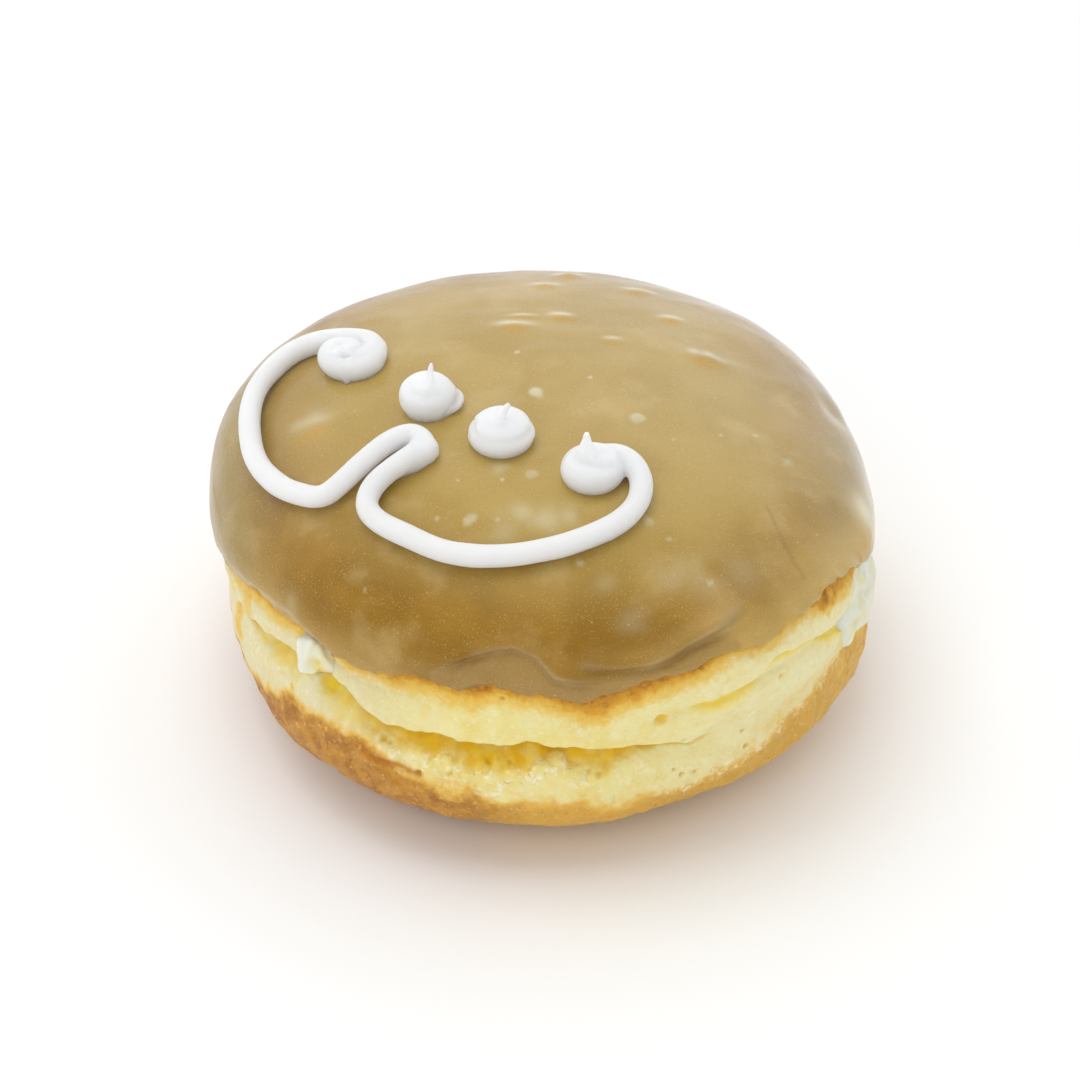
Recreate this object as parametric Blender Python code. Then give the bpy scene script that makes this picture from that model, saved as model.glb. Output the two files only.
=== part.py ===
"""A Bavarian cream doughnut: a raised dough round, split by a crease under its pale lip, with
cream that runs through it and shows at a tear on one side and a hole on the other, a thick
coffee glaze over the dome, and white icing piped on top as a curly line and two dots.

The doughnut rests on its flat base at z = 0. Its front, where the glaze hangs lowest over
the lip, faces -Y. Angles run round the vertical axis from +X, so the front is at -90 degrees.
"""

import math

import bmesh
import bpy
from mathutils import Vector

MM = 0.001

# ---- driving dimensions, in metres --------------------------------------------------------
GLAZE_RADIUS = 45.0 * MM        # over the glaze, at the widest height of the dome
BULGE_HEIGHT = 30.5 * MM        # height where the dome is widest
DOME_RISE = 17.0 * MM           # from the widest height to the top of the glaze
DOME_ROUNDNESS = 2.15           # exponent of the dome's superellipse, 2 is an ellipse
GLAZE_THICKNESS = 1.5 * MM
SKIRT_THICKNESS = 0.7 * MM      # thin film of glaze below its thick roll
EDGE_ROUND = 0.4 * MM           # how far the glaze's inner face starts above its lowest edge
CLEARANCE = 0.3 * MM            # gap between neighbouring solids
BELLY_RADIUS = 43.4 * MM        # widest part of the lower half
BELLY_HEIGHT = 13.0 * MM
ROPE_WIDTH = 3.2 * MM           # piped icing
ROPE_HEIGHT = 2.9 * MM

COLUMNS = 96                    # points round the doughnut
STEP = 360.0 / COLUMNS
CREASE_OPENS = 1.2 * MM         # depth from which the crease undercuts the lip
# Rows of the side from under the crease up to its bottom: inset, share of the crease's depth
# and drop below the lip; then those of the lip: inset, share of the fold's depth, and height
# as a share of the band between lip and glaze, plain and as a multiple of the fold's place.
CREASE_ROWS = ((0.0, 0.0, 4.8), (0.3, 0.0, 2.8), (1.2, 0.45, 1.2), (0.9, 1.0, -0.1), (0.8, 0.9, -1.0))
LIP_ROWS = (
    (1.8, 0.0, 0.0, 0.0), (1.25, 0.0, 0.16, 0.0), (1.15, 0.0, 0.0, 0.5), (1.3, 0.15, -0.08, 1.0),
    (1.5, 1.0, 0.0, 1.0), (1.5, 0.3, 0.05, 1.0), (1.45, 0.0, 0.5, 0.5),
)
CROWN = 0.90                    # share of the dome's rise where its rows give way to a cap
DOME_ROWS = 6
DOME_SPACING = 1.7              # above 1, rows lie closer together towards the crown

# Heel of the dough, from the edge of the flat base up to the belly: (radius, height) in mm.
HEEL = ((26.0, 0.0), (30.7, 0.7), (34.8, 2.4), (38.5, 4.9), (41.1, 7.4), (42.7, 9.9))

# Slow swells of the outline: (waves round, size in mm, direction of a crest in degrees).
DOME_SWELLS = ((1, 0.65, 129), (2, 1.9, -46), (3, 0.8, -58), (4, 0.6, 45))
BELLY_SWELLS = ((1, 0.9, 167), (2, 1.0, -45), (3, 1.0, 0), (4, 0.1, 13))
HEEL_RIPPLES = ((7, 0.22, 20), (11, 0.20, 50), (17, 0.16, 5))

# What changes round the doughnut: (degrees, value), with heights and depths in millimetres.
GLAZE_EDGE = (
    (-168, 27.5), (-157, 28.8), (-139, 30.7), (-129, 28.7), (-118, 29.6), (-112, 30.6),
    (-106, 29.3), (-102, 30.7), (-95, 31.0), (-88, 29.9), (-81, 30.6), (-77, 32.3),
    (-69, 33.3), (-60, 34.8), (-55, 34.1), (-48, 35.4), (-39, 35.6), (-32, 34.8),
    (-22, 32.4), (-8, 30.2), (12, 28.6), (34, 30.4), (58, 28.2), (84, 30.0), (108, 27.8),
    (134, 29.8), (160, 27.2), (180, 26.6),
)
ROLL_ABOVE_EDGE = (
    (-112, 0.9), (-107, 3.9), (-102, 4.8), (-96, 5.3), (-90, 5.0), (-86, 3.3), (-81, 2.9),
    (-76, 2.8), (-68, 3.1), (-61, 2.5), (-56, 0.9), (60, 0.9), (72, 2.6), (88, 1.8), (99, 0.9),
)
LIP_EDGE = (
    (-158, 22.2), (-149, 23.0), (-138, 25.0), (-133, 24.6), (-128, 23.2), (-118, 20.5),
    (-109, 21.2), (-102, 20.6), (-92, 22.3), (-83, 20.9), (-75, 21.2), (-64, 19.2),
    (-54, 21.0), (-40, 19.5), (-20, 18.5), (5, 20.0), (30, 21.5), (60, 19.8), (90, 21.8),
    (120, 20.2), (150, 22.0), (180, 21.0),
)
CREASE_DEPTH = (
    (-160, 0.3), (-148, 1.6), (-137, 2.4), (-128, 2.0), (-121, 1.8), (-113, 3.4),
    (-100, 4.2), (-92, 3.6), (-86, 4.2), (-78, 2.8), (-68, 1.4), (-58, 0.9), (-48, 0.4),
    (-22, 0.5), (0, 1.2), (30, 2.2), (60, 1.2), (92, 2.6), (130, 1.6), (168, 0.3),
)
FOLD_DEPTH = (
    (-78, 0.0), (-66, 0.9), (-52, 1.8), (-40, 1.7), (-28, 1.3), (-20, 0.0), (40, 0.0),
    (55, 1.1), (75, 0.9), (88, 0.0),
)
FOLD_PLACE = (
    (-90, 0.62), (-70, 0.54), (-49, 0.53), (-38, 0.54), (-26, 0.47), (-12, 0.50),
    (40, 0.60), (65, 0.52), (95, 0.62), (180, 0.62),
)

# Cream, from the tear at the left through the middle to the hole at the right, as
# (x, y, z, half width, half height) in millimetres.
CREAM_RUN = (
    (-30.5, -30.4, 26.7, 2.5, 2.7),
    (-26.4, -25.8, 26.4, 4.0, 3.4),
    (-20.5, -16.5, 24.8, 9.5, 4.8),
    (-10.0, -7.0, 23.6, 15.5, 6.4),
    (3.0, -2.0, 23.0, 18.0, 7.0),
    (16.0, -4.6, 23.0, 15.0, 6.8),
    (28.0, -10.6, 23.8, 9.0, 6.2),
    (35.9, -15.2, 25.0, 5.9, 5.6),
    (39.7, -17.1, 25.4, 5.6, 5.5),
)
CREAM_SIDES = 20
CREAM_STATIONS = 12
CREAM_BULGE = 1.2 * MM          # how far the cream swells out of the hole at the right
TEAR_BULGE = 0.6 * MM           # and out of the tear at the left
CREAM_CAP = 0.7                 # size of the rounded ends' last ring, against the section
CREAM_NOSE = 1.3                # reach of the middle of an end, against its last ring
HOLLOW_REACH = 6.0 * MM         # how far the hollow is cut past the ends of the cream

# Curly line, seen from above, as (x, y) in millimetres: first from the outer turn of the
# coil to the tight turn, then from the tight turn to the pointed blob.
LEFT_CURL = (
    (-26.4, 7.6), (-24.0, 8.4), (-22.9, 10.5), (-23.5, 12.8), (-25.7, 14.3), (-29.0, 15.6),
    (-32.5, 15.8), (-35.7, 13.3), (-38.0, 8.7), (-38.7, 2.3),
    (-38.1, -4.5), (-36.4, -9.9), (-33.7, -14.1), (-31.1, -16.5), (-28.3, -17.9),
    (-25.7, -16.1), (-22.7, -13.1), (-19.9, -10.7), (-17.2, -10.0), (-15.3, -11.9),
)
RIGHT_CURL = (
    (-15.5, -12.3), (-17.9, -14.5), (-20.6, -16.6), (-22.3, -18.7), (-22.8, -21.1), (-21.3, -23.6),
    (-18.2, -26.0), (-13.8, -29.0), (-9.2, -30.5), (-4.6, -30.9), (0.0, -30.4), (4.4, -29.0),
    (8.3, -26.9), (10.9, -24.0), (11.7, -20.3), (10.8, -17.0), (8.6, -15.1), (6.2, -15.7),
)
ROPE_STATION = 1.9 * MM         # spacing of the sections along a rope
ROPE_SIDES = 9
ROPE_ENDS = (0.62, 0.93)        # size of the first two sections at each end of a rope
JOINT_STEP = 0.04 * MM          # joined pieces of icing sit this much higher one by one

# Blobs of icing, in millimetres: centre (x, y), radius and height of the body, and for a
# pointed one the offset (x, y) and height of its tip.
COIL_END = ((-27.1, 10.2), 3.2, 3.3)
TURN_END = ((-15.9, -13.1), 2.1, 3.0)
POINTED_END = ((5.6, -17.7), 4.3, 3.6, (-0.9, 0.6), 6.7)
LEFT_DOT = ((-15.5, -2.7), 4.0, 3.6, (0.3, 0.4), 6.5)
RIGHT_DOT = ((-6.0, -10.7), 4.4, 3.4, (0.9, 0.9), 5.6)
BLOB_SIDES = 20
SIDE_BUMP = (-12, 1.3, 3.4)     # bump on the left dot: direction, size, height where it ends
BUMP_SHARPNESS = 8
SETTLE_HEIGHT = 2.0             # millimetres above which a blob no longer follows the dome


# ---- shape rules ---------------------------------------------------------------------------
def around(keys, degrees):
    """Value at an angle from a closed ring of (degrees, value) keys, level at each crest."""
    count = len(keys)
    start = keys[0][0]
    degrees = (degrees - start) % 360.0 + start
    spans = [(keys[(i + 1) % count][0] - keys[i][0]) % 360.0 for i in range(count)]
    rises = [(keys[(i + 1) % count][1] - keys[i][1]) / spans[i] for i in range(count)]

    def slope(i):
        before, after = rises[i - 1], rises[i % count]
        if before * after <= 0.0:
            return 0.0
        return 2.0 * before * after / (before + after)

    for i in range(count):
        if degrees <= keys[i][0] + spans[i] or i == count - 1:
            t = (degrees - keys[i][0]) / spans[i]
            low, high = keys[i][1], keys[(i + 1) % count][1]
            rise = slope(i) * spans[i]
            fall = slope(i + 1) * spans[i]
            return (
                low * (1 + 2 * t) * (1 - t) ** 2
                + high * t * t * (3 - 2 * t)
                + rise * t * (1 - t) ** 2
                - fall * t * t * (1 - t)
            )


def swell(waves, degrees):
    """Sum of the (waves round, size, crest) swells at an angle, in metres."""
    return MM * sum(
        size * math.cos(count * math.radians(degrees - crest)) for count, size, crest in waves
    )


def ease(value):
    """0 to 1 with soft ends."""
    value = min(1.0, max(0.0, value))
    return value * value * (3.0 - 2.0 * value)


def outline(degrees, z):
    """How far the outline swells beyond a circle at an angle and height."""
    rise = ease((z - BELLY_HEIGHT) / (BULGE_HEIGHT - BELLY_HEIGHT))
    low, high = swell(BELLY_SWELLS, degrees), swell(DOME_SWELLS, degrees)
    return low + (high - low) * rise


def shell_radius(degrees, z, inset):
    """Radius of the glazed dome at a height, moved in from its outside by inset."""
    radius = GLAZE_RADIUS - inset + outline(degrees, z)
    if z <= BULGE_HEIGHT:
        return radius
    share = min(1.0, (z - BULGE_HEIGHT) / (DOME_RISE - inset))
    return radius * (1.0 - share**DOME_ROUNDNESS) ** (1.0 / DOME_ROUNDNESS)


def shell_height(x, y, inset=0.0):
    """Height of the glazed dome above a point of its plan."""
    degrees = math.degrees(math.atan2(y, x))
    radius = GLAZE_RADIUS - inset + swell(DOME_SWELLS, degrees)
    share = min(1.0, math.hypot(x, y) / radius)
    rise = (1.0 - share**DOME_ROUNDNESS) ** (1.0 / DOME_ROUNDNESS)
    return BULGE_HEIGHT + (DOME_RISE - inset) * rise


def shell_point(x, y):
    """Point on the glaze above a point of its plan, and the direction straight out of it."""
    reach = 0.5 * MM
    across = shell_height(x + reach, y) - shell_height(x - reach, y)
    along = shell_height(x, y + reach) - shell_height(x, y - reach)
    normal = Vector((-across, -along, 2 * reach)).normalized()
    return Vector((x, y, shell_height(x, y))), normal


def at_angle(degrees, radius, z):
    turn = math.radians(degrees)
    return Vector((radius * math.cos(turn), radius * math.sin(turn), z))


def through(points, share):
    """Point on a smooth curve through a list of points, share 0 at its start and 1 at its end."""
    spans = len(points) - 1
    place = min(share * spans, spans - 1e-6)
    i = int(place)
    t = place - i
    a = points[max(i - 1, 0)]
    b, c = points[i], points[i + 1]
    d = points[min(i + 2, spans)]
    return [
        0.5 * (2 * q + (r - p) * t + (2 * p - 5 * q + 4 * r - s) * t**2 + (3 * q - p - 3 * r + s) * t**3)
        for p, q, r, s in zip(a, b, c, d)
    ]


# ---- building solids -----------------------------------------------------------------------
class Skin:
    """One closed surface in a bmesh, grown ring by ring."""

    def __init__(self):
        self.bm = bmesh.new()

    def ring(self, points):
        return [self.bm.verts.new(point) for point in points]

    def band(self, low, high):
        for i in range(len(low)):
            j = (i + 1) % len(low)
            self.bm.faces.new((low[i], low[j], high[j], high[i]))

    def bands(self, rings):
        for low, high in zip(rings, rings[1:]):
            self.band(low, high)

    def cap(self, ring, centre, faces_up):
        """Closes a ring with a fan of triangles round a centre."""
        face = self.bm.faces.new(ring if faces_up else ring[::-1])
        poked = bmesh.ops.poke(self.bm, faces=[face])
        poked["verts"][0].co = centre

    def object(self, name, material):
        mesh = bpy.data.meshes.new(name)
        self.bm.to_mesh(mesh)
        self.bm.free()
        part = bpy.data.objects.new(name, mesh)
        bpy.context.scene.collection.objects.link(part)
        mesh.materials.append(material)
        mesh.shade_smooth()
        mesh.set_sharp_from_angle(angle=math.radians(50))
        return part


def middle_of(ring):
    return sum((vertex.co for vertex in ring), Vector()) / len(ring)


def finish(name, color, roughness):
    """Material with one plain colour and no metal in it."""
    material = bpy.data.materials.new(name)
    material.use_nodes = True
    shader = material.node_tree.nodes["Principled BSDF"]
    shader.inputs["Base Color"].default_value = (*color, 1.0)
    shader.inputs["Roughness"].default_value = roughness
    shader.inputs["Metallic"].default_value = 0.0
    return material


def apply_boolean(part, operation, other=None, collection=None):
    """Cuts or joins and keeps the result as the part's own mesh."""
    modifier = part.modifiers.new("Boolean", "BOOLEAN")
    modifier.operation = operation
    if collection:
        modifier.operand_type = "COLLECTION"
        modifier.collection = collection
    else:
        modifier.object = other
    graph = bpy.context.evaluated_depsgraph_get()
    joined = bpy.data.meshes.new_from_object(part.evaluated_get(graph))
    part.modifiers.clear()
    part.data = joined


def column_angles():
    return [i * STEP for i in range(COLUMNS)]


# ---- dough ---------------------------------------------------------------------------------
def dough_profile(degrees):
    """Rising (radius, height) rows of the dough's side at an angle, up to the glaze's edge."""
    lip = around(LIP_EDGE, degrees) * MM
    top = around(GLAZE_EDGE, degrees) * MM
    depth = around(CREASE_DEPTH, degrees) * MM
    fold = around(FOLD_DEPTH, degrees) * MM
    place = around(FOLD_PLACE, degrees)
    band = top - lip

    rows = []
    for radius, z in HEEL:
        raised = ease(z / 5.0)
        rough = swell(BELLY_SWELLS, degrees) + swell(HEEL_RIPPLES, degrees) * raised
        rows.append((radius * MM + rough, z * MM))
    rows.append((BELLY_RADIUS + outline(degrees, BELLY_HEIGHT), BELLY_HEIGHT))

    split = ease(depth / CREASE_OPENS)
    for inset, deeper, drop in CREASE_ROWS:
        z = lip - drop * MM
        inset = inset * MM * split + deeper * depth
        rows.append((BELLY_RADIUS - inset + outline(degrees, z), z))
    for inset, deeper, share, of_place in LIP_ROWS:
        z = lip + (share + of_place * place) * band
        inset = inset * MM + deeper * fold
        rows.append((GLAZE_RADIUS - inset + outline(degrees, z), z))
    return rows


def dome_rows(degrees, inset, rows, lowest):
    """Rows of (radius, height) that rise from a height to the crown, closer where it turns."""
    crown = BULGE_HEIGHT + DOME_RISE * CROWN
    found = []
    for row in range(rows):
        share = row / (rows - 1)
        z = lowest + (crown - lowest) * (1.0 - (1.0 - share) ** DOME_SPACING)
        if z > BULGE_HEIGHT:
            z = BULGE_HEIGHT + (z - BULGE_HEIGHT) * (DOME_RISE - inset) / DOME_RISE
        found.append((shell_radius(degrees, z, inset), z))
    return found


def make_dough(material):
    inset = GLAZE_THICKNESS + CLEARANCE
    columns = []
    for degrees in column_angles():
        tuck = around(GLAZE_EDGE, degrees) * MM
        under = [(shell_radius(degrees, tuck - 0.5 * MM, inset), tuck - 0.5 * MM)]
        dome = dome_rows(degrees, inset, DOME_ROWS, tuck + EDGE_ROUND)
        columns.append(dough_profile(degrees) + under + dome)
    skin = Skin()
    rings = []
    for row in range(len(columns[0])):
        points = [
            at_angle(degrees, *column[row]) for degrees, column in zip(column_angles(), columns)
        ]
        rings.append(skin.ring(points))
    skin.bands(rings)
    skin.cap(rings[0], Vector((0, 0, 0)), faces_up=False)
    skin.cap(rings[-1], Vector((0, 0, BULGE_HEIGHT + DOME_RISE - inset)), faces_up=True)
    return skin.object("dough", material)


# ---- cream ---------------------------------------------------------------------------------
def cream_section(share, grow):
    """Ring of points across the cream, grown outwards by grow."""
    x, y, z, half_width, half_height = [value * MM for value in through(CREAM_RUN, share)]
    before = through(CREAM_RUN, max(0.0, share - 0.01))
    after = through(CREAM_RUN, min(1.0, share + 0.01))
    forward = Vector((after[0] - before[0], after[1] - before[1], after[2] - before[2]))
    forward.normalize()
    side = Vector((0, 0, 1)).cross(forward).normalized()
    up = forward.cross(side)
    ring = []
    for i in range(CREAM_SIDES):
        turn = 2 * math.pi * i / CREAM_SIDES
        ring.append(
            Vector((x, y, z))
            + side * (half_width + grow) * math.cos(turn)
            + up * (half_height + grow) * math.sin(turn)
        )
    return ring, forward


def run_of_cream(name, material, grow, reaches, cap, nose):
    """Closed body along the cream's run, its two ends pushed out by their reaches."""
    skin = Skin()
    sections = [cream_section(i / CREAM_STATIONS, grow) for i in range(CREAM_STATIONS + 1)]
    rings = [points for points, _ in sections]
    out = (-sections[0][1], sections[-1][1])
    centres, tips = [], []
    for ring, direction, reach in zip((rings[0], rings[-1]), out, reaches):
        centre = sum(ring, Vector()) / len(ring)
        centres.append(centre + direction * reach * nose)
        tips.append([centre + (point - centre) * cap + direction * reach for point in ring])
    rings = [skin.ring(points) for points in (tips[0], *rings, tips[1])]
    skin.bands(rings)
    skin.cap(rings[0], centres[0], faces_up=False)
    skin.cap(rings[-1], centres[1], faces_up=True)
    return skin.object(name, material)


# ---- glaze ---------------------------------------------------------------------------------
def glaze_profile(degrees):
    """Rows of the glaze from the crown inside, down to its edge and up again outside."""
    edge = around(GLAZE_EDGE, degrees) * MM
    roll = edge + around(ROLL_ABOVE_EDGE, degrees) * MM
    film = ease((roll - edge - 0.9 * MM) / (1.6 * MM))
    thin = GLAZE_THICKNESS - (GLAZE_THICKNESS - SKIRT_THICKNESS) * film

    rows = dome_rows(degrees, GLAZE_THICKNESS, DOME_ROWS, edge + EDGE_ROUND)[::-1]

    def outer(z, depth):
        rows.append((shell_radius(degrees, z, depth), z))

    outer(edge, GLAZE_THICKNESS - 0.45 * thin)
    outer(edge + 0.35 * MM, GLAZE_THICKNESS - 0.9 * thin)
    outer(roll - 0.1 * MM, GLAZE_THICKNESS - thin)
    outer(roll + 0.8 * MM, 0.25 * MM * film)
    return rows + dome_rows(degrees, 0.0, DOME_ROWS + 1, roll + 2.0 * MM)


def crown_grid(skin, rim):
    """Square grid of faces over the crown, whose edge is the ring that the sides end in."""
    side = COLUMNS // 4
    turns = [math.radians(STEP * i - 45.0) for i in range(side + 1)]
    radii = [vertex.co.to_2d().length for vertex in rim]
    grid = {}
    for i, a in enumerate(turns):
        for j, b in enumerate(turns):
            x = math.sqrt(2) * math.sin(a) * math.cos(b)
            y = math.sqrt(2) * math.sin(b) * math.cos(a)
            column = math.degrees(math.atan2(y, x)) % 360.0 / STEP
            if i in (0, side) or j in (0, side):
                grid[i, j] = rim[round(column) % COLUMNS]
                continue
            low = int(column) % COLUMNS
            share = column - int(column)
            radius = radii[low] * (1 - share) + radii[(low + 1) % COLUMNS] * share
            x, y = x * radius, y * radius
            grid[i, j] = skin.bm.verts.new((x, y, shell_height(x, y)))
    for i in range(side):
        for j in range(side):
            corners = (grid[i, j], grid[i + 1, j], grid[i + 1, j + 1], grid[i, j + 1])
            skin.bm.faces.new(corners)


def make_glaze(material):
    skin = Skin()
    columns = [glaze_profile(degrees) for degrees in column_angles()]
    rings = []
    for row in range(len(columns[0])):
        points = [
            at_angle(degrees, *column[row]) for degrees, column in zip(column_angles(), columns)
        ]
        rings.append(skin.ring(points))
    skin.bands(rings)
    peak = Vector((0, 0, BULGE_HEIGHT + DOME_RISE - GLAZE_THICKNESS))
    skin.cap(rings[0], peak, faces_up=False)
    crown_grid(skin, rings[-1])
    return skin.object("glaze", material)


# ---- piped icing ---------------------------------------------------------------------------
def rope(name, path, lift, material):
    """Rope of icing, oval in section, laid along a path on the glaze."""
    points = [[x * MM, y * MM] for x, y in path]
    length = sum(math.dist(a, b) for a, b in zip(points, points[1:]))
    stations = round(length / ROPE_STATION)
    skin = Skin()
    rings = []
    for i in range(stations + 1):
        share = i / stations
        x, y = through(points, share)
        before = through(points, max(0.0, share - 0.01))
        after = through(points, min(1.0, share + 0.01))
        centre, normal = shell_point(x, y)
        along = shell_point(*after)[0] - shell_point(*before)[0]
        side = normal.cross(along).normalized()
        end = min(i, stations - i)
        size = ROPE_ENDS[end] if end < len(ROPE_ENDS) else 1.0
        ring = []
        for k in range(ROPE_SIDES):
            turn = 2 * math.pi * k / ROPE_SIDES - math.pi / 2
            across = 0.5 * ROPE_WIDTH * size * math.cos(turn)
            height = 0.5 * ROPE_HEIGHT * size * (1 + math.sin(turn))
            below = centre + side * across
            foot = Vector((below.x, below.y, shell_height(below.x, below.y)))
            ring.append(foot + normal * (lift + height))
        rings.append(skin.ring(ring))
    skin.bands(rings)
    skin.cap(rings[0], middle_of(rings[0]), faces_up=False)
    skin.cap(rings[-1], middle_of(rings[-1]), faces_up=True)
    return skin.object(name, material)


def blob(name, centre, rows, lift, material, bump=None):
    """Turned blob of icing on the glaze: rows of (radius, height, shift x, shift y) in mm."""
    foot, normal = shell_point(centre[0] * MM, centre[1] * MM)
    side = Vector((0, 1, 0)).cross(normal).normalized()
    back = normal.cross(side)
    skin = Skin()
    rings = []
    for radius, height, shift_x, shift_y in rows:
        ring = []
        for k in range(BLOB_SIDES):
            turn = 2 * math.pi * k / BLOB_SIDES
            reach = radius
            if bump:
                direction, size, level = bump
                near = math.cos(turn - math.radians(direction))
                reach += size * max(0.0, near) ** BUMP_SHARPNESS * max(0.0, 1.0 - height / level)
            x = (reach * math.cos(turn) + shift_x) * MM
            y = (reach * math.sin(turn) + shift_y) * MM
            flat = foot + side * x + back * y
            on_glaze = shell_height(flat.x, flat.y)
            sink = ease(1.0 - height / SETTLE_HEIGHT)
            rest = flat.z + (on_glaze - flat.z) * sink
            ring.append(Vector((flat.x, flat.y, rest)) + normal * (lift + height * MM))
        rings.append(skin.ring(ring))
    skin.bands(rings)
    skin.cap(rings[0], middle_of(rings[0]), faces_up=False)
    skin.cap(rings[-1], middle_of(rings[-1]), faces_up=True)
    return skin.object(name, material)


def pointed_rows(radius, height, tip, tip_height):
    """Rows of a blob in two tiers, drawn up to a thin leaning tip."""
    tip_x, tip_y = tip
    return (
        (0.86 * radius, 0.0, 0.0, 0.0),
        (1.0 * radius, 0.28 * height, 0.0, 0.0),
        (0.97 * radius, 0.5 * height, 0.0, 0.0),
        (0.76 * radius, 0.66 * height, 0.1, 0.1),
        (0.71 * radius, 0.82 * height, 0.1, 0.1),
        (0.5 * radius, 0.97 * height, 0.1, 0.1),
        (0.24 * radius, 1.08 * height, 0.2 * tip_x, 0.2 * tip_y),
        (0.11 * radius, 0.4 * height + 0.6 * tip_height, 0.5 * tip_x, 0.5 * tip_y),
        (0.05 * radius, tip_height, tip_x, tip_y),
    )


def coiled_rows(radius, height):
    """Rows of a flat coil with a dimple at its middle."""
    return (
        (0.86 * radius, 0.0, 0.0, 0.0),
        (1.0 * radius, 0.32 * height, 0.0, 0.0),
        (0.93 * radius, 0.66 * height, 0.0, 0.0),
        (0.7 * radius, 0.9 * height, 0.0, 0.0),
        (0.48 * radius, 0.97 * height, 0.0, 0.0),
        (0.2 * radius, 0.86 * height, 0.0, 0.0),
    )


def domed_rows(radius, height):
    """Rows of a plain rounded blob."""
    return (
        (0.86 * radius, 0.0, 0.0, 0.0),
        (1.0 * radius, 0.35 * height, 0.0, 0.0),
        (0.9 * radius, 0.68 * height, 0.0, 0.0),
        (0.6 * radius, 0.92 * height, 0.0, 0.0),
    )


def make_scroll(material):
    """Curly line as one solid: two ropes, the coil and the pointed blob joined."""
    lifts = [CLEARANCE + step * JOINT_STEP for step in range(5)]
    centre, radius, height, tip, tip_height = POINTED_END
    end_rows = pointed_rows(radius, height, tip, tip_height)
    coil_centre, coil_radius, coil_height = COIL_END
    turn_centre, turn_radius, turn_height = TURN_END
    scroll = rope("piped_scroll", LEFT_CURL, lifts[0], material)
    others = bpy.data.collections.new("scroll_pieces")
    bpy.context.scene.collection.children.link(others)
    pieces = [
        rope("scroll_right", RIGHT_CURL, lifts[1], material),
        blob("scroll_point", centre, end_rows, lifts[2], material),
        blob("scroll_coil", coil_centre, coiled_rows(coil_radius, coil_height), lifts[3], material),
        blob("scroll_turn", turn_centre, domed_rows(turn_radius, turn_height), lifts[4], material),
    ]
    for piece in pieces:
        bpy.context.scene.collection.objects.unlink(piece)
        others.objects.link(piece)
    apply_boolean(scroll, "UNION", collection=others)
    for piece in pieces:
        bpy.data.objects.remove(piece)
    bpy.data.collections.remove(others)
    return scroll


def make_dot(name, place, material, bump=None):
    centre, radius, height, tip, tip_height = place
    rows = pointed_rows(radius, height, tip, tip_height)
    return blob(name, centre, rows, CLEARANCE, material, bump)


# ---- the doughnut --------------------------------------------------------------------------
def centre_on_origin(parts):
    """Moves every mesh alike, so that the whole stands centred on the origin at z = 0."""
    points = [vertex.co for part in parts for vertex in part.data.vertices]
    middle = Vector((
        (min(p.x for p in points) + max(p.x for p in points)) / 2,
        (min(p.y for p in points) + max(p.y for p in points)) / 2,
        min(p.z for p in points),
    ))
    for part in parts:
        for vertex in part.data.vertices:
            vertex.co -= middle
        part.data.update()


def main():
    for part in list(bpy.data.objects):
        bpy.data.objects.remove(part)
    dough_finish = finish("dough", (0.72, 0.53, 0.24), 0.7)
    cream_finish = finish("cream", (0.80, 0.76, 0.55), 0.4)
    glaze_finish = finish("coffee_glaze", (0.40, 0.27, 0.12), 0.3)
    icing_finish = finish("white_icing", (0.85, 0.85, 0.84), 0.5)

    dough = make_dough(dough_finish)
    past = (HOLLOW_REACH, HOLLOW_REACH)
    hollow = run_of_cream("cream_hollow", cream_finish, CLEARANCE, past, 1.0, 1.0)
    apply_boolean(dough, "DIFFERENCE", other=hollow)
    bpy.data.objects.remove(hollow)
    ends = (TEAR_BULGE, CREAM_BULGE)
    cream = run_of_cream("cream_filling", cream_finish, 0.0, ends, CREAM_CAP, CREAM_NOSE)
    glaze = make_glaze(glaze_finish)
    scroll = make_scroll(icing_finish)
    left_dot = make_dot("piped_dot_left", LEFT_DOT, icing_finish, SIDE_BUMP)
    right_dot = make_dot("piped_dot_right", RIGHT_DOT, icing_finish)
    centre_on_origin((dough, cream, glaze, scroll, left_dot, right_dot))


main()
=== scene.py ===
"""A cream filled raised doughnut: pale torn crumb, a golden crust, a coffee glaze over its dome
and white icing piped on top. It stands on a plain pale floor in soft studio light."""

import itertools
import math

import bpy
import numpy as np
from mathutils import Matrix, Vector
from mathutils.bvhtree import BVHTree


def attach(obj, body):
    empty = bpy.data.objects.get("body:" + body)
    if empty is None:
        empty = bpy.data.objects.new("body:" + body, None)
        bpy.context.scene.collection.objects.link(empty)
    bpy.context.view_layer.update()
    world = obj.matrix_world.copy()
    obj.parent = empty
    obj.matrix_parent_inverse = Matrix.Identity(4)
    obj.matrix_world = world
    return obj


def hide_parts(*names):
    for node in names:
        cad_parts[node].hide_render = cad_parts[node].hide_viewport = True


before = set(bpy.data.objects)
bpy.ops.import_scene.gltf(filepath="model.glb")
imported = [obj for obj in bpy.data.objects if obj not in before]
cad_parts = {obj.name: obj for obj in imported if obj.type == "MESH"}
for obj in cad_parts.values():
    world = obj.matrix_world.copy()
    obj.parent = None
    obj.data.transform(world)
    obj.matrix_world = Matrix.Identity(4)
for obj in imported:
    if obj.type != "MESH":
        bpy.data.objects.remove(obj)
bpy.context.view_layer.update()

MM = 0.001
AXIS = (1.059, -0.790)  # where the doughnut's own middle stands, in mm
MIDDLE = np.array((*AXIS, 0.0)) * MM  # and in metres, on the floor
RIM = 44.0  # the radius in mm at which lengths round the side are measured
SIDE_FROM = 33.0  # the dough is finer from this far out, in mm
CRUMB_FROM = 38.0  # its crumb shows from this far out
CREAM_FROM = 36.0  # the cream is finer from this far out
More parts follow.
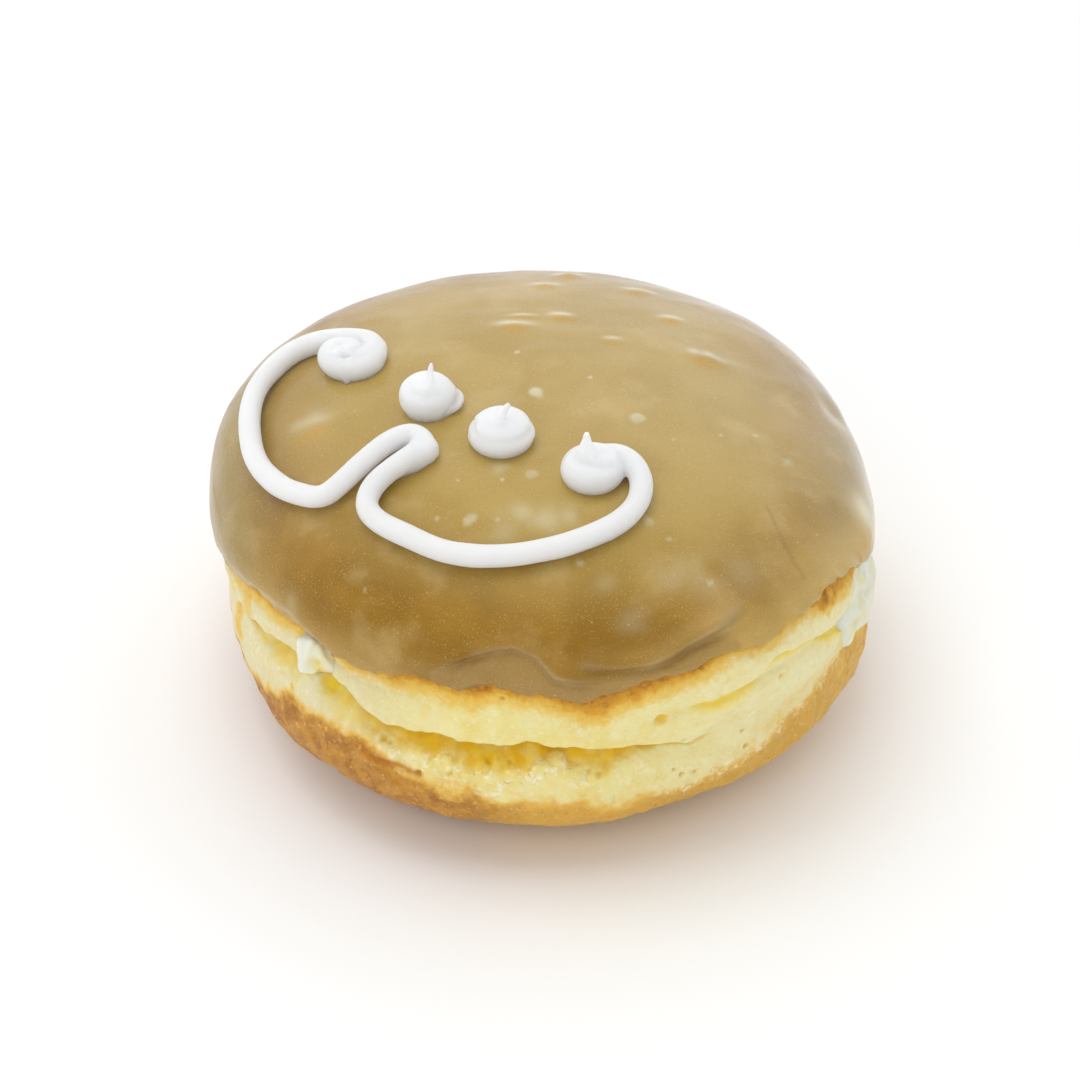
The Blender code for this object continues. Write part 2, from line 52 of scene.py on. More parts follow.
POROUS_BELOW = 20.0  # the crumb has pores below this height, in mm
GOLD_RISE = 3.5  # how far golden crumb reaches above the crust, in mm
GLAZE_HEART = (0.0, 0.0, 22.0)  # the glaze's outer skin faces away from here, in mm

# ---- the camera ----------------------------------------------------------------------------

ELEVATION = 38.0  # degrees above the floor
DISTANCE = 550.0  # from the point on the doughnut's axis that it looks at, in mm
AIM_HEIGHT = 22.0  # the height of that point, in mm
LENS, SENSOR = 135.93, 36.0  # in mm
SHIFT = (-0.00815, 0.0015)  # to the side and up, in frame widths

# ---- the light: softboxes by name, place, side in m and power in W --------------------------

SOFTBOXES = (
    ("front_softbox", (-0.3, -1.0, 0.7), 1.0, 4.4),
    ("overhead_softbox", (-0.2, 0.0, 1.0), 0.6, 2.2),
)
# The room's own light is weak in front and strong behind.
ROOM_LIGHT = {"From Min": -0.7, "From Max": 0.6, "To Min": 0.42, "To Max": 1.14}
ROOM_COLOUR = (0.97, 0.985, 1.0, 1.0)
FLOOR_SIZE = 6.0  # in metres

# ---- places on the doughnut: angles in degrees round its middle, the front at -90 ----------

# The height at which the brown heel gives way to the pale crumb.
CRUST_TOP = (
    (-172, 13.0), (-159, 12.0), (-144, 17.0), (-138, 17.0), (-133, 18.2), (-124, 17.0),
    (-115, 15.0), (-111, 14.0), (-102, 13.4), (-98, 12.4), (-86, 12.4), (-79, 11.5), (-72, 12.2),
    (-64, 12.4), (-57, 13.2), (-50, 14.0), (-44, 15.5), (-40, 16.6), (-36, 17.6), (-31, 18.6),
    (-24, 18.4), (-14, 15.0), (-4, 15.0), (20, 13.0), (58, 15.2), (98, 12.6), (140, 14.8),
    (172, 13.2),
)
# How far the brown of the toasted line reaches down from the glaze's edge.
TOASTED = (
    (-165, 2.0), (-150, 1.5), (-141, 1.8), (-136, 1.3), (-132, 0.4), (-126, 0.8), (-118, 1.2),
    (-108, 1.6), (-98, 1.2), (-90, 1.3), (-83, 2.3), (-76, 1.9), (-66, 0.9), (-56, 0.3),
    (-45, 0.2), (-38, 1.6), (-32, 2.4), (-27, 1.8), (-20, 0.6), (10, 1.2), (60, 0.9), (100, 1.8),
    (150, 1.2),
)
TOAST_FADES = 2.8  # and the golden halo beyond the brown, in mm
# The torn lower edge of the lip that overhangs the crease.
LIP_EDGE = (
    (-158, 22.2), (-149, 23.0), (-138, 25.0), (-133, 24.6), (-128, 23.2), (-118, 20.5),
    (-109, 21.2), (-102, 20.6), (-92, 22.3), (-83, 20.9), (-75, 21.2), (-64, 19.2), (-54, 21.0),
    (-40, 19.5), (-20, 18.5), (5, 20.0), (30, 21.5), (60, 19.8), (90, 21.8), (120, 20.2),
    (150, 22.0), (180, 21.0),
)
# How far the open gap reaches down below the lip; it is painted yellow as its shade.
POCKET = (
    (-162, 0.6), (-152, 2.6), (-145, 3.8), (-138, 3.6), (-136, 2.0), (-133, 4.8), (-129, 4.6),
    (-125, 3.4), (-119, 2.6), (-113, 3.0), (-105, 4.3), (-98, 4.6), (-92, 3.6), (-88, 2.0),
    (-84, 3.3), (-80, 3.6), (-76, 2.2), (-70, 0.9), (-62, 0.7), (-36, 0.8), (-20, 1.4), (20, 2.4),
    (60, 0.9), (100, 3.0), (140, 1.0), (175, 2.2),
)
# The edge where the upper crumb tore over the lower, on the right: angle and height.
SPLIT = (
    (-68, 27.2), (-61, 27.2), (-57, 27.5), (-54.5, 29.2), (-51.5, 31.0), (-48, 31.0), (-44, 30.3),
    (-35, 27.2), (-29, 25.5), (-25, 25.0),
)
TEAR_FLAP = (-27.8, -32.7, 28.6)  # where the lip closes over the cream's upper right, x, y, z
FLAP_MOVE = (-1.9, 1.5, 0.0)  # and which way, in mm
# Spans of the side: the angle at which each begins and how many degrees it takes to come in,
# then the angle at which it ends and how many degrees it takes to go.
CREASE_SHUT = (-67.0, 9.0, -22.0, 6.0)
SPLIT_OPEN = (-68.0, 5.0, -25.0, 4.0)
GOLDEN_CRUMB = (-58.0, 10.0, -18.0, 8.0)
TUFTED_CRUST = (-76.0, 10.0, -18.0, 8.0)
GLAZE_DRIPS = (-42.0, 3.0, -30.0, 3.0)
THIN_AT_RIGHT = (-100.0, 46.0, 10.0, 20.0)
THIN_AT_LEFT = (-168.0, 20.0, -104.0, 22.0)
# Scorched patches: angle, height, half width and half height in mm, and how brown.
SCORCHED = (
    (-35.2, 34.0, 3.4, 2.2, 1.0), (-132.0, 28.4, 1.4, 1.5, 0.85), (-164.0, 19.0, 1.8, 4.5, 0.6),
    (-157.0, 25.5, 1.4, 3.2, 0.55), (-141.5, 19.0, 0.35, 0.9, 0.8),
    (-26.0, 17.0, 1.2, 2.6, 0.6),
)
# Holes in the crumb: angle, height, half width and depth in mm.
HOLES = (
    (-133.0, 22.5, 1.3, 0.7), (-71.3, 26.2, 0.75, 0.6), (-55.9, 22.8, 0.32, 0.8),
    (-49.0, 27.0, 0.25, 0.6), (-55.4, 28.6, 0.2, 0.5), (-67.1, 21.6, 0.22, 0.5),
    (-66.4, 14.6, 0.28, 0.7), (-63.9, 14.4, 0.24, 0.7), (-67.8, 15.9, 0.22, 0.6),
    (-81.3, 17.2, 0.3, 0.7), (-82.8, 17.8, 0.26, 0.6), (-54.2, 18.2, 0.24, 0.5),
    (-53.4, 15.4, 0.34, 0.6), (-98.1, 29.2, 0.22, 0.4), (-112.7, 15.6, 0.4, 0.5),
    (-120.4, 18.5, 0.4, 0.8), (-118.9, 18.2, 0.25, 0.6), (-101.0, 18.6, 0.3, 0.7),
    (-97.0, 18.9, 0.24, 0.6), (-93.5, 18.4, 0.22, 0.5), (-107.0, 16.6, 0.3, 0.5),
)
WIDE_HOLE = 1.0  # a hole with a larger half width than this gets the painted yellow glow inside
# A small crack in the crust: angle and height.
CRACK = ((-123.7, 16.6), (-120.5, 15.5), (-116.5, 15.9), (-112.5, 15.3))
# How far the thick roll of glaze stands above the edge of the thin film under it.
ROLL_ABOVE_EDGE = (
    (-112, 0.9), (-107, 3.9), (-102, 4.8), (-96, 5.3), (-90, 5.0), (-86, 3.3), (-81, 2.9),
    (-76, 2.8), (-68, 3.1), (-61, 2.5), (-56, 0.9), (60, 0.9), (72, 2.6), (88, 1.8), (99, 0.9),
)
# Folds where the glaze sagged: how deep, then angle and height along each.
FOLDS = (
    (0.34, (-111, 31.6), (-107.4, 33.0), (-104.4, 34.4), (-100.1, 35.6), (-96.5, 36.2),
     (-92.1, 35.5), (-89, 33.2), (-85.3, 33.0), (-80, 33.1)),
    (0.42, (-87, 35.3), (-83.2, 35.2), (-77.8, 34.8), (-73.2, 34.7), (-69.7, 35.2),
     (-66.4, 36.3), (-61.2, 36.8), (-55, 37.3)),
    (0.36, (-73, 34.9), (-69.1, 35.7), (-64, 36.6), (-58.3, 37.9), (-52, 39.0)),
)
# Lumps under the glaze: x, y, half width across and from front to back, and height in mm.
LUMPS = (
    (-4.7, 14.9, 2.0, 1.2, 0.34), (1.5, 18.0, 1.3, 0.9, 0.2), (16.5, 19.4, 1.4, 0.9, 0.24),
    (8.4, 11.8, 1.0, 0.8, 0.16), (20.8, 9.4, 2.6, 1.2, 0.36), (-0.4, 28.6, 1.6, 1.0, 0.3),
    (2.7, 33.7, 1.6, 1.4, 0.4), (12.5, 28.5, 1.8, 1.0, 0.26), (-3.5, 17.9, 1.5, 0.7, 0.16),
    (-31.0, -2.8, 2.6, 1.6, 0.12), (38.6, 9.0, 2.4, 3.0, -0.5), (41.2, -14.0, 2.0, 4.0, 0.3),
)
# Pale blots in the glaze: x, y, half width in mm, and how pale.
BLOTS = (
    (-1.8, -1.0, 1.2, 0.8), (11.6, -5.9, 1.0, 0.6), (30.8, -9.5, 0.8, 0.35),
    (12.4, -24.8, 0.7, 0.35), (-2.1, -17.2, 0.8, 0.4), (-4.2, 8.3, 0.45, 0.6),
    (5.4, 2.5, 0.35, 0.6), (22.5, -7.4, 0.3, 0.5), (27.1, -5.8, 0.4, 0.4), (16.1, -9.6, 0.3, 0.4),
    (15.3, -27.6, 0.4, 0.4), (-23.2, -30.9, 0.35, 0.4), (-31.0, -27.2, 0.4, 0.4),
    (3.9, -31.5, 0.5, 0.4), (8.0, -27.9, 0.5, 0.35), (20.5, -32.8, 0.55, 0.55),
    (-10.1, -24.1, 0.85, 0.5), (-5.9, -18.0, 0.28, 0.6), (-14.2, -23.0, 0.3, 0.5),
    (-6.5, -24.5, 0.28, 0.5), (-11.7, -17.4, 0.26, 0.5), (-10.5, -21.8, 0.25, 0.5),
)
# Pale sheen painted on the glaze in patches and streaks, in the same way.
HAZE = (
    (15.5, -31.8, 2.8, 0.18), (19.5, -31.6, 3.4, 0.16), (24.4, -30.2, 2.8, 0.12),
    (7.0, -34.2, 1.5, 0.16), (10.4, -38.4, 1.9, 0.13), (-3.3, -23.7, 1.7, 0.32),
    (-0.6, -24.8, 2.2, 0.3), (2.6, -24.6, 1.6, 0.24), (-6.2, -25.6, 2.4, 0.22),
    (-10.2, -25.6, 2.2, 0.16), (-6.3, -16.0, 1.1, 0.28), (-32.4, -27.6, 1.4, 0.26),
    (-33.0, -1.6, 1.5, 0.16), (-30.6, -0.4, 1.6, 0.18), (-28.4, 0.4, 1.4, 0.12),
    (19.4, 11.1, 0.8, 0.4), (21.2, 10.8, 0.9, 0.5), (23.0, 10.2, 0.8, 0.45),
)
# Bubbles that stand in the glaze: x, y and half width in mm.
BUBBLES = (
    (-21.5, -33.1, 0.5), (-25.1, -29.1, 0.4), (-27.2, -30.8, 0.5), (19.6, -24.4, 0.45),
    (8.0, -28.7, 0.5), (12.4, -24.8, 0.55), (20.5, -32.8, 0.5), (-2.1, -17.2, 0.55),
    (15.3, -27.6, 0.35), (-1.8, -1.0, 0.9), (11.6, -5.9, 0.75), (-26.1, -32.8, 0.4),
)
# A hairline crack in the glaze: x, y and z in mm.
HAIRLINE = ((28.0, -19.7, 42.7), (29.0, -22.3, 41.8), (29.9, -24.6, 40.8), (31.0, -26.5, 39.7),
            (32.4, -28.3, 38.2))
# Creases in the icing: half width, depth, then x, y and z along each, in mm.
SCROLL_CREASES = (
    (0.34, 0.8, (-27.4, 8.2, 47.6), (-27.2, 7.4, 47.4), (-26.8, 7.1, 47.3)),
    (0.5, 0.35, (3.2, -18.2, 49.9), (4.1, -19.4, 50.1), (5.6, -20.0, 50.0), (6.9, -20.1, 49.8),
     (7.9, -19.4, 49.7)),
)
LEFT_CREASES = (
    (0.5, 0.28, (-18.4, -3.2, 50.4), (-17.6, -5.0, 50.3), (-16.0, -5.8, 50.2),
     (-14.4, -5.3, 50.2)),
    (0.35, 0.4, (-12.0, -2.6, 48.6), (-12.3, -4.4, 48.6), (-13.0, -5.8, 48.0),
     (-13.9, -6.7, 47.0)),
)
MIDDLE_CREASES = (
    (0.42, 0.32, (-9.6, -10.1, 49.4), (-9.0, -11.3, 49.0), (-8.2, -12.3, 48.8), (-6.0, -13.5, 48.7),
     (-3.8, -12.9, 48.8), (-2.8, -11.5, 49.0)),
)
# Where the icing was drawn off the nozzle: x, y, z and half thickness along each spire.
SCROLL_SPIRE = (
    (4.9, -18.0, 49.2, 2.1), (4.85, -17.9, 50.3, 1.5), (4.8, -17.8, 51.2, 1.0),
    (4.8, -17.7, 52.0, 0.7), (4.8, -17.6, 52.7, 0.48), (4.8, -17.6, 53.3, 0.34),
)
LEFT_SPIRE = (
    (-15.65, -4.8, 50.3, 0.9), (-15.6, -4.3, 51.0, 0.75), (-15.5, -3.7, 51.6, 0.64),
    (-15.4, -3.1, 52.2, 0.52), (-15.3, -2.6, 52.8, 0.4), (-15.2, -2.3, 53.3, 0.28),
)
MIDDLE_SPIRE = (
    (-6.4, -11.4, 50.0, 1.1), (-6.2, -11.2, 50.9, 0.8), (-5.9, -11.0, 51.6, 0.6),
    (-5.5, -10.8, 52.2, 0.46), (-5.0, -10.6, 52.7, 0.36),
)
# The last wrap of the coil, its small nib and the tight turn: x, y, rise of the middle above
# the glaze and half thickness.
WRAP = (
    (-24.7, 13.4, 1.2, 1.2), (-22.9, 10.4, 1.4, 1.4), (-23.2, 7.5, 1.4, 1.45),
    (-24.7, 6.2, 1.4, 1.45), (-26.6, 6.2, 1.5, 1.45), (-28.4, 7.3, 1.6, 1.45),
    (-29.4, 9.2, 1.8, 1.45), (-29.2, 10.8, 2.0, 1.4), (-27.8, 11.2, 2.2, 1.35),
    (-26.4, 10.1, 2.0, 1.3), (-26.1, 9.0, 1.6, 1.2),
)
NIB = (
    (-27.0, 6.2, 0.8, 0.6), (-26.9, 5.4, 0.6, 0.42), (-26.8, 4.9, 0.5, 0.32),
    (-26.7, 4.6, 0.5, 0.26),
)
TURN = (
    (-20.2, -9.7, 1.1, 1.1), (-18.3, -9.6, 1.3, 1.35), (-16.8, -10.9, 1.5, 1.6),
    (-16.1, -12.8, 1.6, 1.65), (-17.0, -14.2, 1.5, 1.6), (-19.0, -14.9, 1.4, 1.4),
    (-21.2, -15.9, 1.1, 1.1),
)
# Rounded tiers: x, y, rise of the middle above the glaze, half width and half height.
LEFT_TIERS = ((-15.8, -2.9, 1.8, 3.8, 3.0),)
MIDDLE_TIERS = ((-6.2, -10.7, 1.0, 4.3, 1.7), (-6.0, -10.3, 2.4, 3.7, 1.3))
SCROLL_TIERS = ((5.5, -18.0, 1.4, 4.1, 2.4),)
# Each piece of icing: its node and its name, its spire, the strands laid on the glaze, its tiers
# and creases, and the height in mm above which its solid gives way to them.
ICINGS = (
    ("piped_scroll", "piped_curly_line", SCROLL_SPIRE, (WRAP, NIB, TURN), SCROLL_TIERS,
     SCROLL_CREASES, 50.0),
    ("piped_dot_left", "piped_dot_by_the_coil", LEFT_SPIRE, (), LEFT_TIERS, LEFT_CREASES, 48.4),
    ("piped_dot_right", "piped_dot_in_the_middle", MIDDLE_SPIRE, (), MIDDLE_TIERS,
     MIDDLE_CREASES, 49.0),
)
ICING_GRAIN = 0.2  # the size in mm of the voxels that fuse it
ICING_PROUD = 0.06  # how far it stands out beyond its solid, and how uneven it is, in mm
COIL_FORWARD = 1.1  # how far at most the coil lies in front of its solid, in mm
ICING_SINK, SINK_BELOW = 0.5, 1.3  # how deep it sinks into the glaze, and below what height
MOUTH = (41.0, -16.3, 25.4)  # the middle of the cream's right end, x, y, z
# Strands and thin places where the cream was pulled at the tear: half width, how far they
# stand out, then x, y and z along each, in mm.
STRANDS = (
    (0.55, 0.5, (-31.9, -28.4, 29.2), (-31.6, -29.8, 28.4), (-31.5, -30.4, 26.6),
     (-31.6, -29.6, 24.6), (-31.4, -28.2, 22.8)),
    (0.45, 0.45, (-30.2, -30.3, 29.4), (-30.7, -31.1, 27.7), (-31.2, -30.6, 25.4),
     (-31.4, -28.8, 23.2)),
    (0.55, 0.5, (-29.4, -31.0, 29.2), (-28.9, -31.6, 28.1), (-27.9, -31.5, 26.2),
     (-27.3, -31.2, 24.6)),
    (1.0, -0.9, (-29.7, -31.6, 26.8), (-29.3, -31.4, 25.4), (-29.2, -30.6, 24.2)),
    (1.2, -1.3, (-29.2, -31.8, 30.0), (-28.4, -32.3, 29.0), (-27.8, -32.5, 27.6)),
)


# ---- numbers and noise ---------------------------------------------------------------------


def ease(share):
    """A soft step from 0 to 1 as share goes from 0 to 1."""
    share = np.clip(share, 0.0, 1.0)
    return share * share * (3.0 - 2.0 * share)


def around(keys, degrees):
    """A value that runs round the doughnut through its keys, (angle, value)."""
    angles, values = zip(*keys)
    return np.interp(degrees, angles, values, period=360.0)


def within(span, degrees):
    """1 within a span of the side, with soft ends."""
    start, coming, end, going = span
    return ease((degrees - start) / coming) * ease((end - degrees) / going)


def mm_round(degrees):
    """How far round the side an angle lies, in mm."""
    return np.radians(degrees) * RIM


def laid_flat(degrees, height=0.0):
    """Points of the side laid out flat: how far round it and how high, in mm."""
    return np.stack(np.broadcast_arrays(mm_round(degrees), height, 0.0), 1)


def clouds(points, size, seed, stretch=(1.0, 1.0, 1.0)):
    """Smooth noise from -1 to 1 at each point, with lumps of about that size in mm."""
    spread = points / (np.array(stretch) * size) + np.array((5.3, 2.9, 7.7)) * (seed + 1)
    cell = np.floor(spread)
    inside = ease(spread - cell)
    total = np.zeros(len(points))
    for corner in itertools.product((0, 1), repeat=3):
        mixed = np.sin((cell + corner) @ np.array((127.1, 311.7, 74.7))) * 43758.5453
        weight = np.prod(np.where(corner, inside, 1.0 - inside), axis=1)
        total += weight * (mixed - np.floor(mixed))
    return 2.0 * total - 1.0


def away_from(points, route):
    """How far each point lies from a route of straight stretches."""
    nearest = np.full(len(points), 1e9)
    for start, end in zip(route, route[1:]):
        start, stretch = np.array(start), np.subtract(end, start)
        share = np.clip((points - start) @ stretch / (stretch @ stretch), 0.0, 1.0)
        gap = np.linalg.norm(points - start - share[:, None] * stretch, axis=1)
        nearest = np.minimum(nearest, gap)
    return nearest


def hill(gap):
    """A round hill that is 1 high at its middle and gone at twice its half width."""
    return np.exp(-(gap**2))


def highest_near(points, x, y):
    """The point at a place seen from above, on the upper of two skins."""
    return points[np.argmin(np.hypot(points[:, 0] - x, points[:, 1] - y) - 0.02 * points[:, 2])]


def creased(points, creases):
    """How far creases sink each point, with a soft swelling along both their sides."""
    sunk = np.zeros(len(points))
    for wide, deep, *route in creases:
        gap = away_from(points, route) / wide
        sunk += deep * (hill(gap) - 0.3 * hill(gap - 2.3))
    return sunk


# ---- meshes --------------------------------------------------------------------------------


def pick(piece):
    """Makes a piece the one that the next steps work on."""
    bpy.ops.object.select_all(action="DESELECT")
    piece.select_set(True)
    bpy.context.view_layer.objects.active = piece


def edit(piece):
    """Opens a piece for editing, with all of it selected."""
    pick(piece)
    bpy.ops.object.mode_set(mode="EDIT")
    bpy.ops.mesh.select_all(action="SELECT")


def done():
    bpy.ops.object.mode_set(mode="OBJECT")


def copy_of(node, name):
    """A free copy of a CAD node, with its corners merged and its triangles paired into quads."""
    piece = bpy.data.objects.new(name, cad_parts[node].data.copy())
    bpy.context.scene.collection.objects.link(piece)
    piece.data.materials.clear()
    edit(piece)
    bpy.ops.mesh.customdata_custom_splitnormals_clear()
    bpy.ops.mesh.remove_doubles(threshold=1e-6)
    wide = math.radians(60)
    bpy.ops.mesh.tris_convert_to_quads(face_threshold=wide, shape_threshold=wide)
    done()
    return piece


def subdivide(piece, levels):
    """Rounds a piece by subdivision."""
    pick(piece)
    modifier = piece.modifiers.new("rounding", "SUBSURF")
    modifier.levels = modifier.render_levels = levels
    bpy.ops.object.modifier_apply(modifier=modifier.name)


def finer_where(piece, wanted, smoothness=0.0):
    """Cuts each face in four where wanted(middles, normals) says so."""
    faces = piece.data.polygons
    chosen = wanted(in_mm(numbers(faces, "center")), numbers(faces, "normal"))
    edit(piece)
    bpy.ops.mesh.select_all(action="DESELECT")
    bpy.ops.mesh.select_mode(type="FACE")
    done()
    piece.data.polygons.foreach_set("select", chosen)
    pick(piece)
    bpy.ops.object.mode_set(mode="EDIT")
    bpy.ops.mesh.subdivide(number_cuts=1, smoothness=smoothness)
    done()


def numbers(rows, key):
    """Three numbers of every row of a mesh, such as its place or its normal."""
    found = np.empty(len(rows) * 3)
    rows.foreach_get(key, found)
    return found.reshape(-1, 3)


def in_mm(points):
    """Blender's points in mm from the doughnut's own middle."""
    return (points - MIDDLE) / MM


def placed(x, y, z):
    """Blender's point for a place in mm from the doughnut's own middle."""
    return (x + AXIS[0]) * MM, (y + AXIS[1]) * MM, z * MM


def points_of(piece):
    return in_mm(numbers(piece.data.vertices, "co"))


def normals_of(piece):
    return numbers(piece.data.vertex_normals, "vector")


def put(piece, points):
    """Moves a piece's points to the given places."""
    moved = points * MM + MIDDLE
    piece.data.vertices.foreach_set("co", moved.astype(np.float32).ravel())
    piece.data.update()


def tint(piece, **layers):
    """Stores numbers from 0 to 1 at every point, by name, for the material to read."""
    for name, values in layers.items():
        layer = piece.data.attributes.new(name, "FLOAT", "POINT")
        layer.data.foreach_set("value", np.clip(values, 0.0, 1.0).astype(np.float32))


def relaxed(piece, points, times):
    """The points after each has moved that many times halfway to the mean of its neighbours."""
    ends = np.empty(len(piece.data.edges) * 2, np.int32)
    piece.data.edges.foreach_get("vertices", ends)
    first, second = ends.reshape(-1, 2).T
    count = len(points)
    neighbours = np.bincount(first, minlength=count) + np.bincount(second, minlength=count)
    for _ in range(times):
        total = np.stack([
            np.bincount(first, points[second, axis], count)
            + np.bincount(second, points[first, axis], count)
            for axis in range(3)
        ], axis=1)
        points = 0.5 * (points + total / neighbours[:, None])
    return points


def angle_of(points):
    """The angle in degrees at which each point lies round the middle."""
    return np.degrees(np.arctan2(points[:, 1], points[:, 0]))


def glaze_edge(degrees, slices=96):
    """The height in mm of the glaze's lower edge at each angle."""
    found = points_of(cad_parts["glaze"])
    which = np.floor((angle_of(found) + 180.0) / 360.0 * slices).astype(int) % slices
    lowest = np.full(slices, 1e9)
    np.minimum.at(lowest, which, found[:, 2])
    middles = (np.arange(slices) + 0.5) * 360.0 / slices - 180.0
    return np.interp(degrees, middles, lowest, period=360.0)


def dress(piece, node, material):
    """Shades a piece smooth, gives it its material and puts it in its node's place."""
    pick(piece)
    bpy.ops.object.shade_smooth_by_angle(angle=math.radians(180.0))
    piece.data.materials.append(material)
    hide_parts(node)
    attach(piece, "root")


# ---- materials -----------------------------------------------------------------------------


def shade(red, green, blue):
    """A colour as a screen shows it, 0 to 255, as the light that it sends back."""
    parts = np.array((red, green, blue)) / 255.0
    return (*np.where(parts <= 0.04045, parts / 12.92, ((parts + 0.055) / 1.055) ** 2.4), 1.0)


class Wire:
    """One output of a shader node. Sums and products of wires add Math nodes."""

    def __init__(self, paint, socket):
        self.paint, self.socket = paint, socket

    def math(self, operation, *inputs):
        return self.paint.node("ShaderNodeMath", 0, enumerate(inputs), operation=operation)

    def __add__(self, other):
        return self.math("ADD", self, other)

    def __sub__(self, other):
        return self.math("SUBTRACT", self, other)

    def __rsub__(self, other):
        return self.math("SUBTRACT", other, self)

    def __mul__(self, other):
        return self.math("MULTIPLY", self, other)

    def __truediv__(self, other):
        return self.math("DIVIDE", self, other)

    def __abs__(self):
        return self.math("ABSOLUTE", self)

    __radd__, __rmul__ = __add__, __mul__

    def step(self, low, high):
        """A soft step from 0 at low to 1 at high."""
        inputs = {"Value": self, "From Min": low, "From Max": high}
        return self.paint.node(
            "ShaderNodeMapRange", "Result", inputs.items(), interpolation_type="SMOOTHSTEP"
        )


class Paint:
    """A material's nodes, on a Principled shader."""

    def __init__(self, name, **constants):
        self.material = bpy.data.materials.new(name)
        self.material.use_nodes = True
        self.tree = self.material.node_tree
        self.shader = self.tree.nodes["Principled BSDF"]
        for socket, value in constants.items():
            self.shader.inputs[socket.replace("_", " ")].default_value = value
        self.place = self.node("ShaderNodeTexCoord", "Object")

    def node(self, kind, output, inputs=(), **settings):
        made = self.tree.nodes.new(kind)
        for key, value in settings.items():
            setattr(made, key, value)
        for socket, value in inputs:
            self.feed(made.inputs[socket], value)
        return Wire(self, made.outputs[output])

    def feed(self, socket, value):
        if isinstance(value, Wire):
            self.tree.links.new(value.socket, socket)
        else:
            socket.default_value = value

    def set(self, socket, value):
        self.feed(self.shader.inputs[socket], value)

    def tinted(self, *names):
        """The numbers that tint() stored, each as a wire."""
        return [self.node("ShaderNodeAttribute", "Fac", attribute_name=name) for name in names]

    def measured(self, axis):
        """How far along an axis the surface lies, in metres."""
        return self.node("ShaderNodeSeparateXYZ", axis, ((0, self.place),))

    def stretched(self, scale):
        inputs = {"Vector": self.place, "Scale": scale}
        return self.node("ShaderNodeMapping", "Vector", inputs.items())

    def noise(self, size, detail=2.0, rough=0.5, place=None, warp=0.0):
        """Noise from 0 to 1, its lumps about that size in mm."""
        inputs = {
            "Vector": place or self.place, "Scale": 1.0 / (size * MM), "Detail": detail,
            "Roughness": rough, "Distortion": warp,
        }
        return self.node("ShaderNodeTexNoise", "Fac", inputs.items())

    def specks(self, apart, width, share, seed):
        """Dots of that width in mm, scattered about that far apart, in that share of places."""
        shifted = self.node(
            "ShaderNodeVectorMath", 0, ((0, self.place), (1, (seed, 0.0, 0.0))), operation="ADD"
        )
        inputs = {"Vector": shifted, "Scale": 1.0 / (apart * MM)}
        away = self.node("ShaderNodeTexVoronoi", "Distance", inputs.items())
        colour = Wire(self, away.socket.node.outputs["Color"])
        chance = self.node("ShaderNodeSeparateColor", "Red", ((0, colour),))
        size = self.node("ShaderNodeSeparateColor", "Green", ((0, colour),))
        near = 1.0 - away / ((size * 0.7 + 0.3) * (width / apart))
        return near.step(0.0, 0.6) * chance.step(1.0 - share, 1.0 - share + 0.02)

    def mix(self, first, second, share):
        return self.node(
            "ShaderNodeMix", 2, ((0, share), (6, first), (7, second)), data_type="RGBA"
        )

    def layered(self, base, *coats):
        """A base with (colour, share) coats laid over it, one after the other."""
        for colour, share in coats:
            base = self.mix(base, colour, share)
        return base

    def bump(self, *layers):
        """Relief from (height wire, depth in mm) layers."""
        normal = None
        for height, depth in layers:
            inputs = {"Height": height, "Distance": depth * MM, "Strength": 1.0}
            if normal:
                inputs["Normal"] = normal
            normal = self.node("ShaderNodeBump", "Normal", inputs.items())
        self.set("Normal", normal)


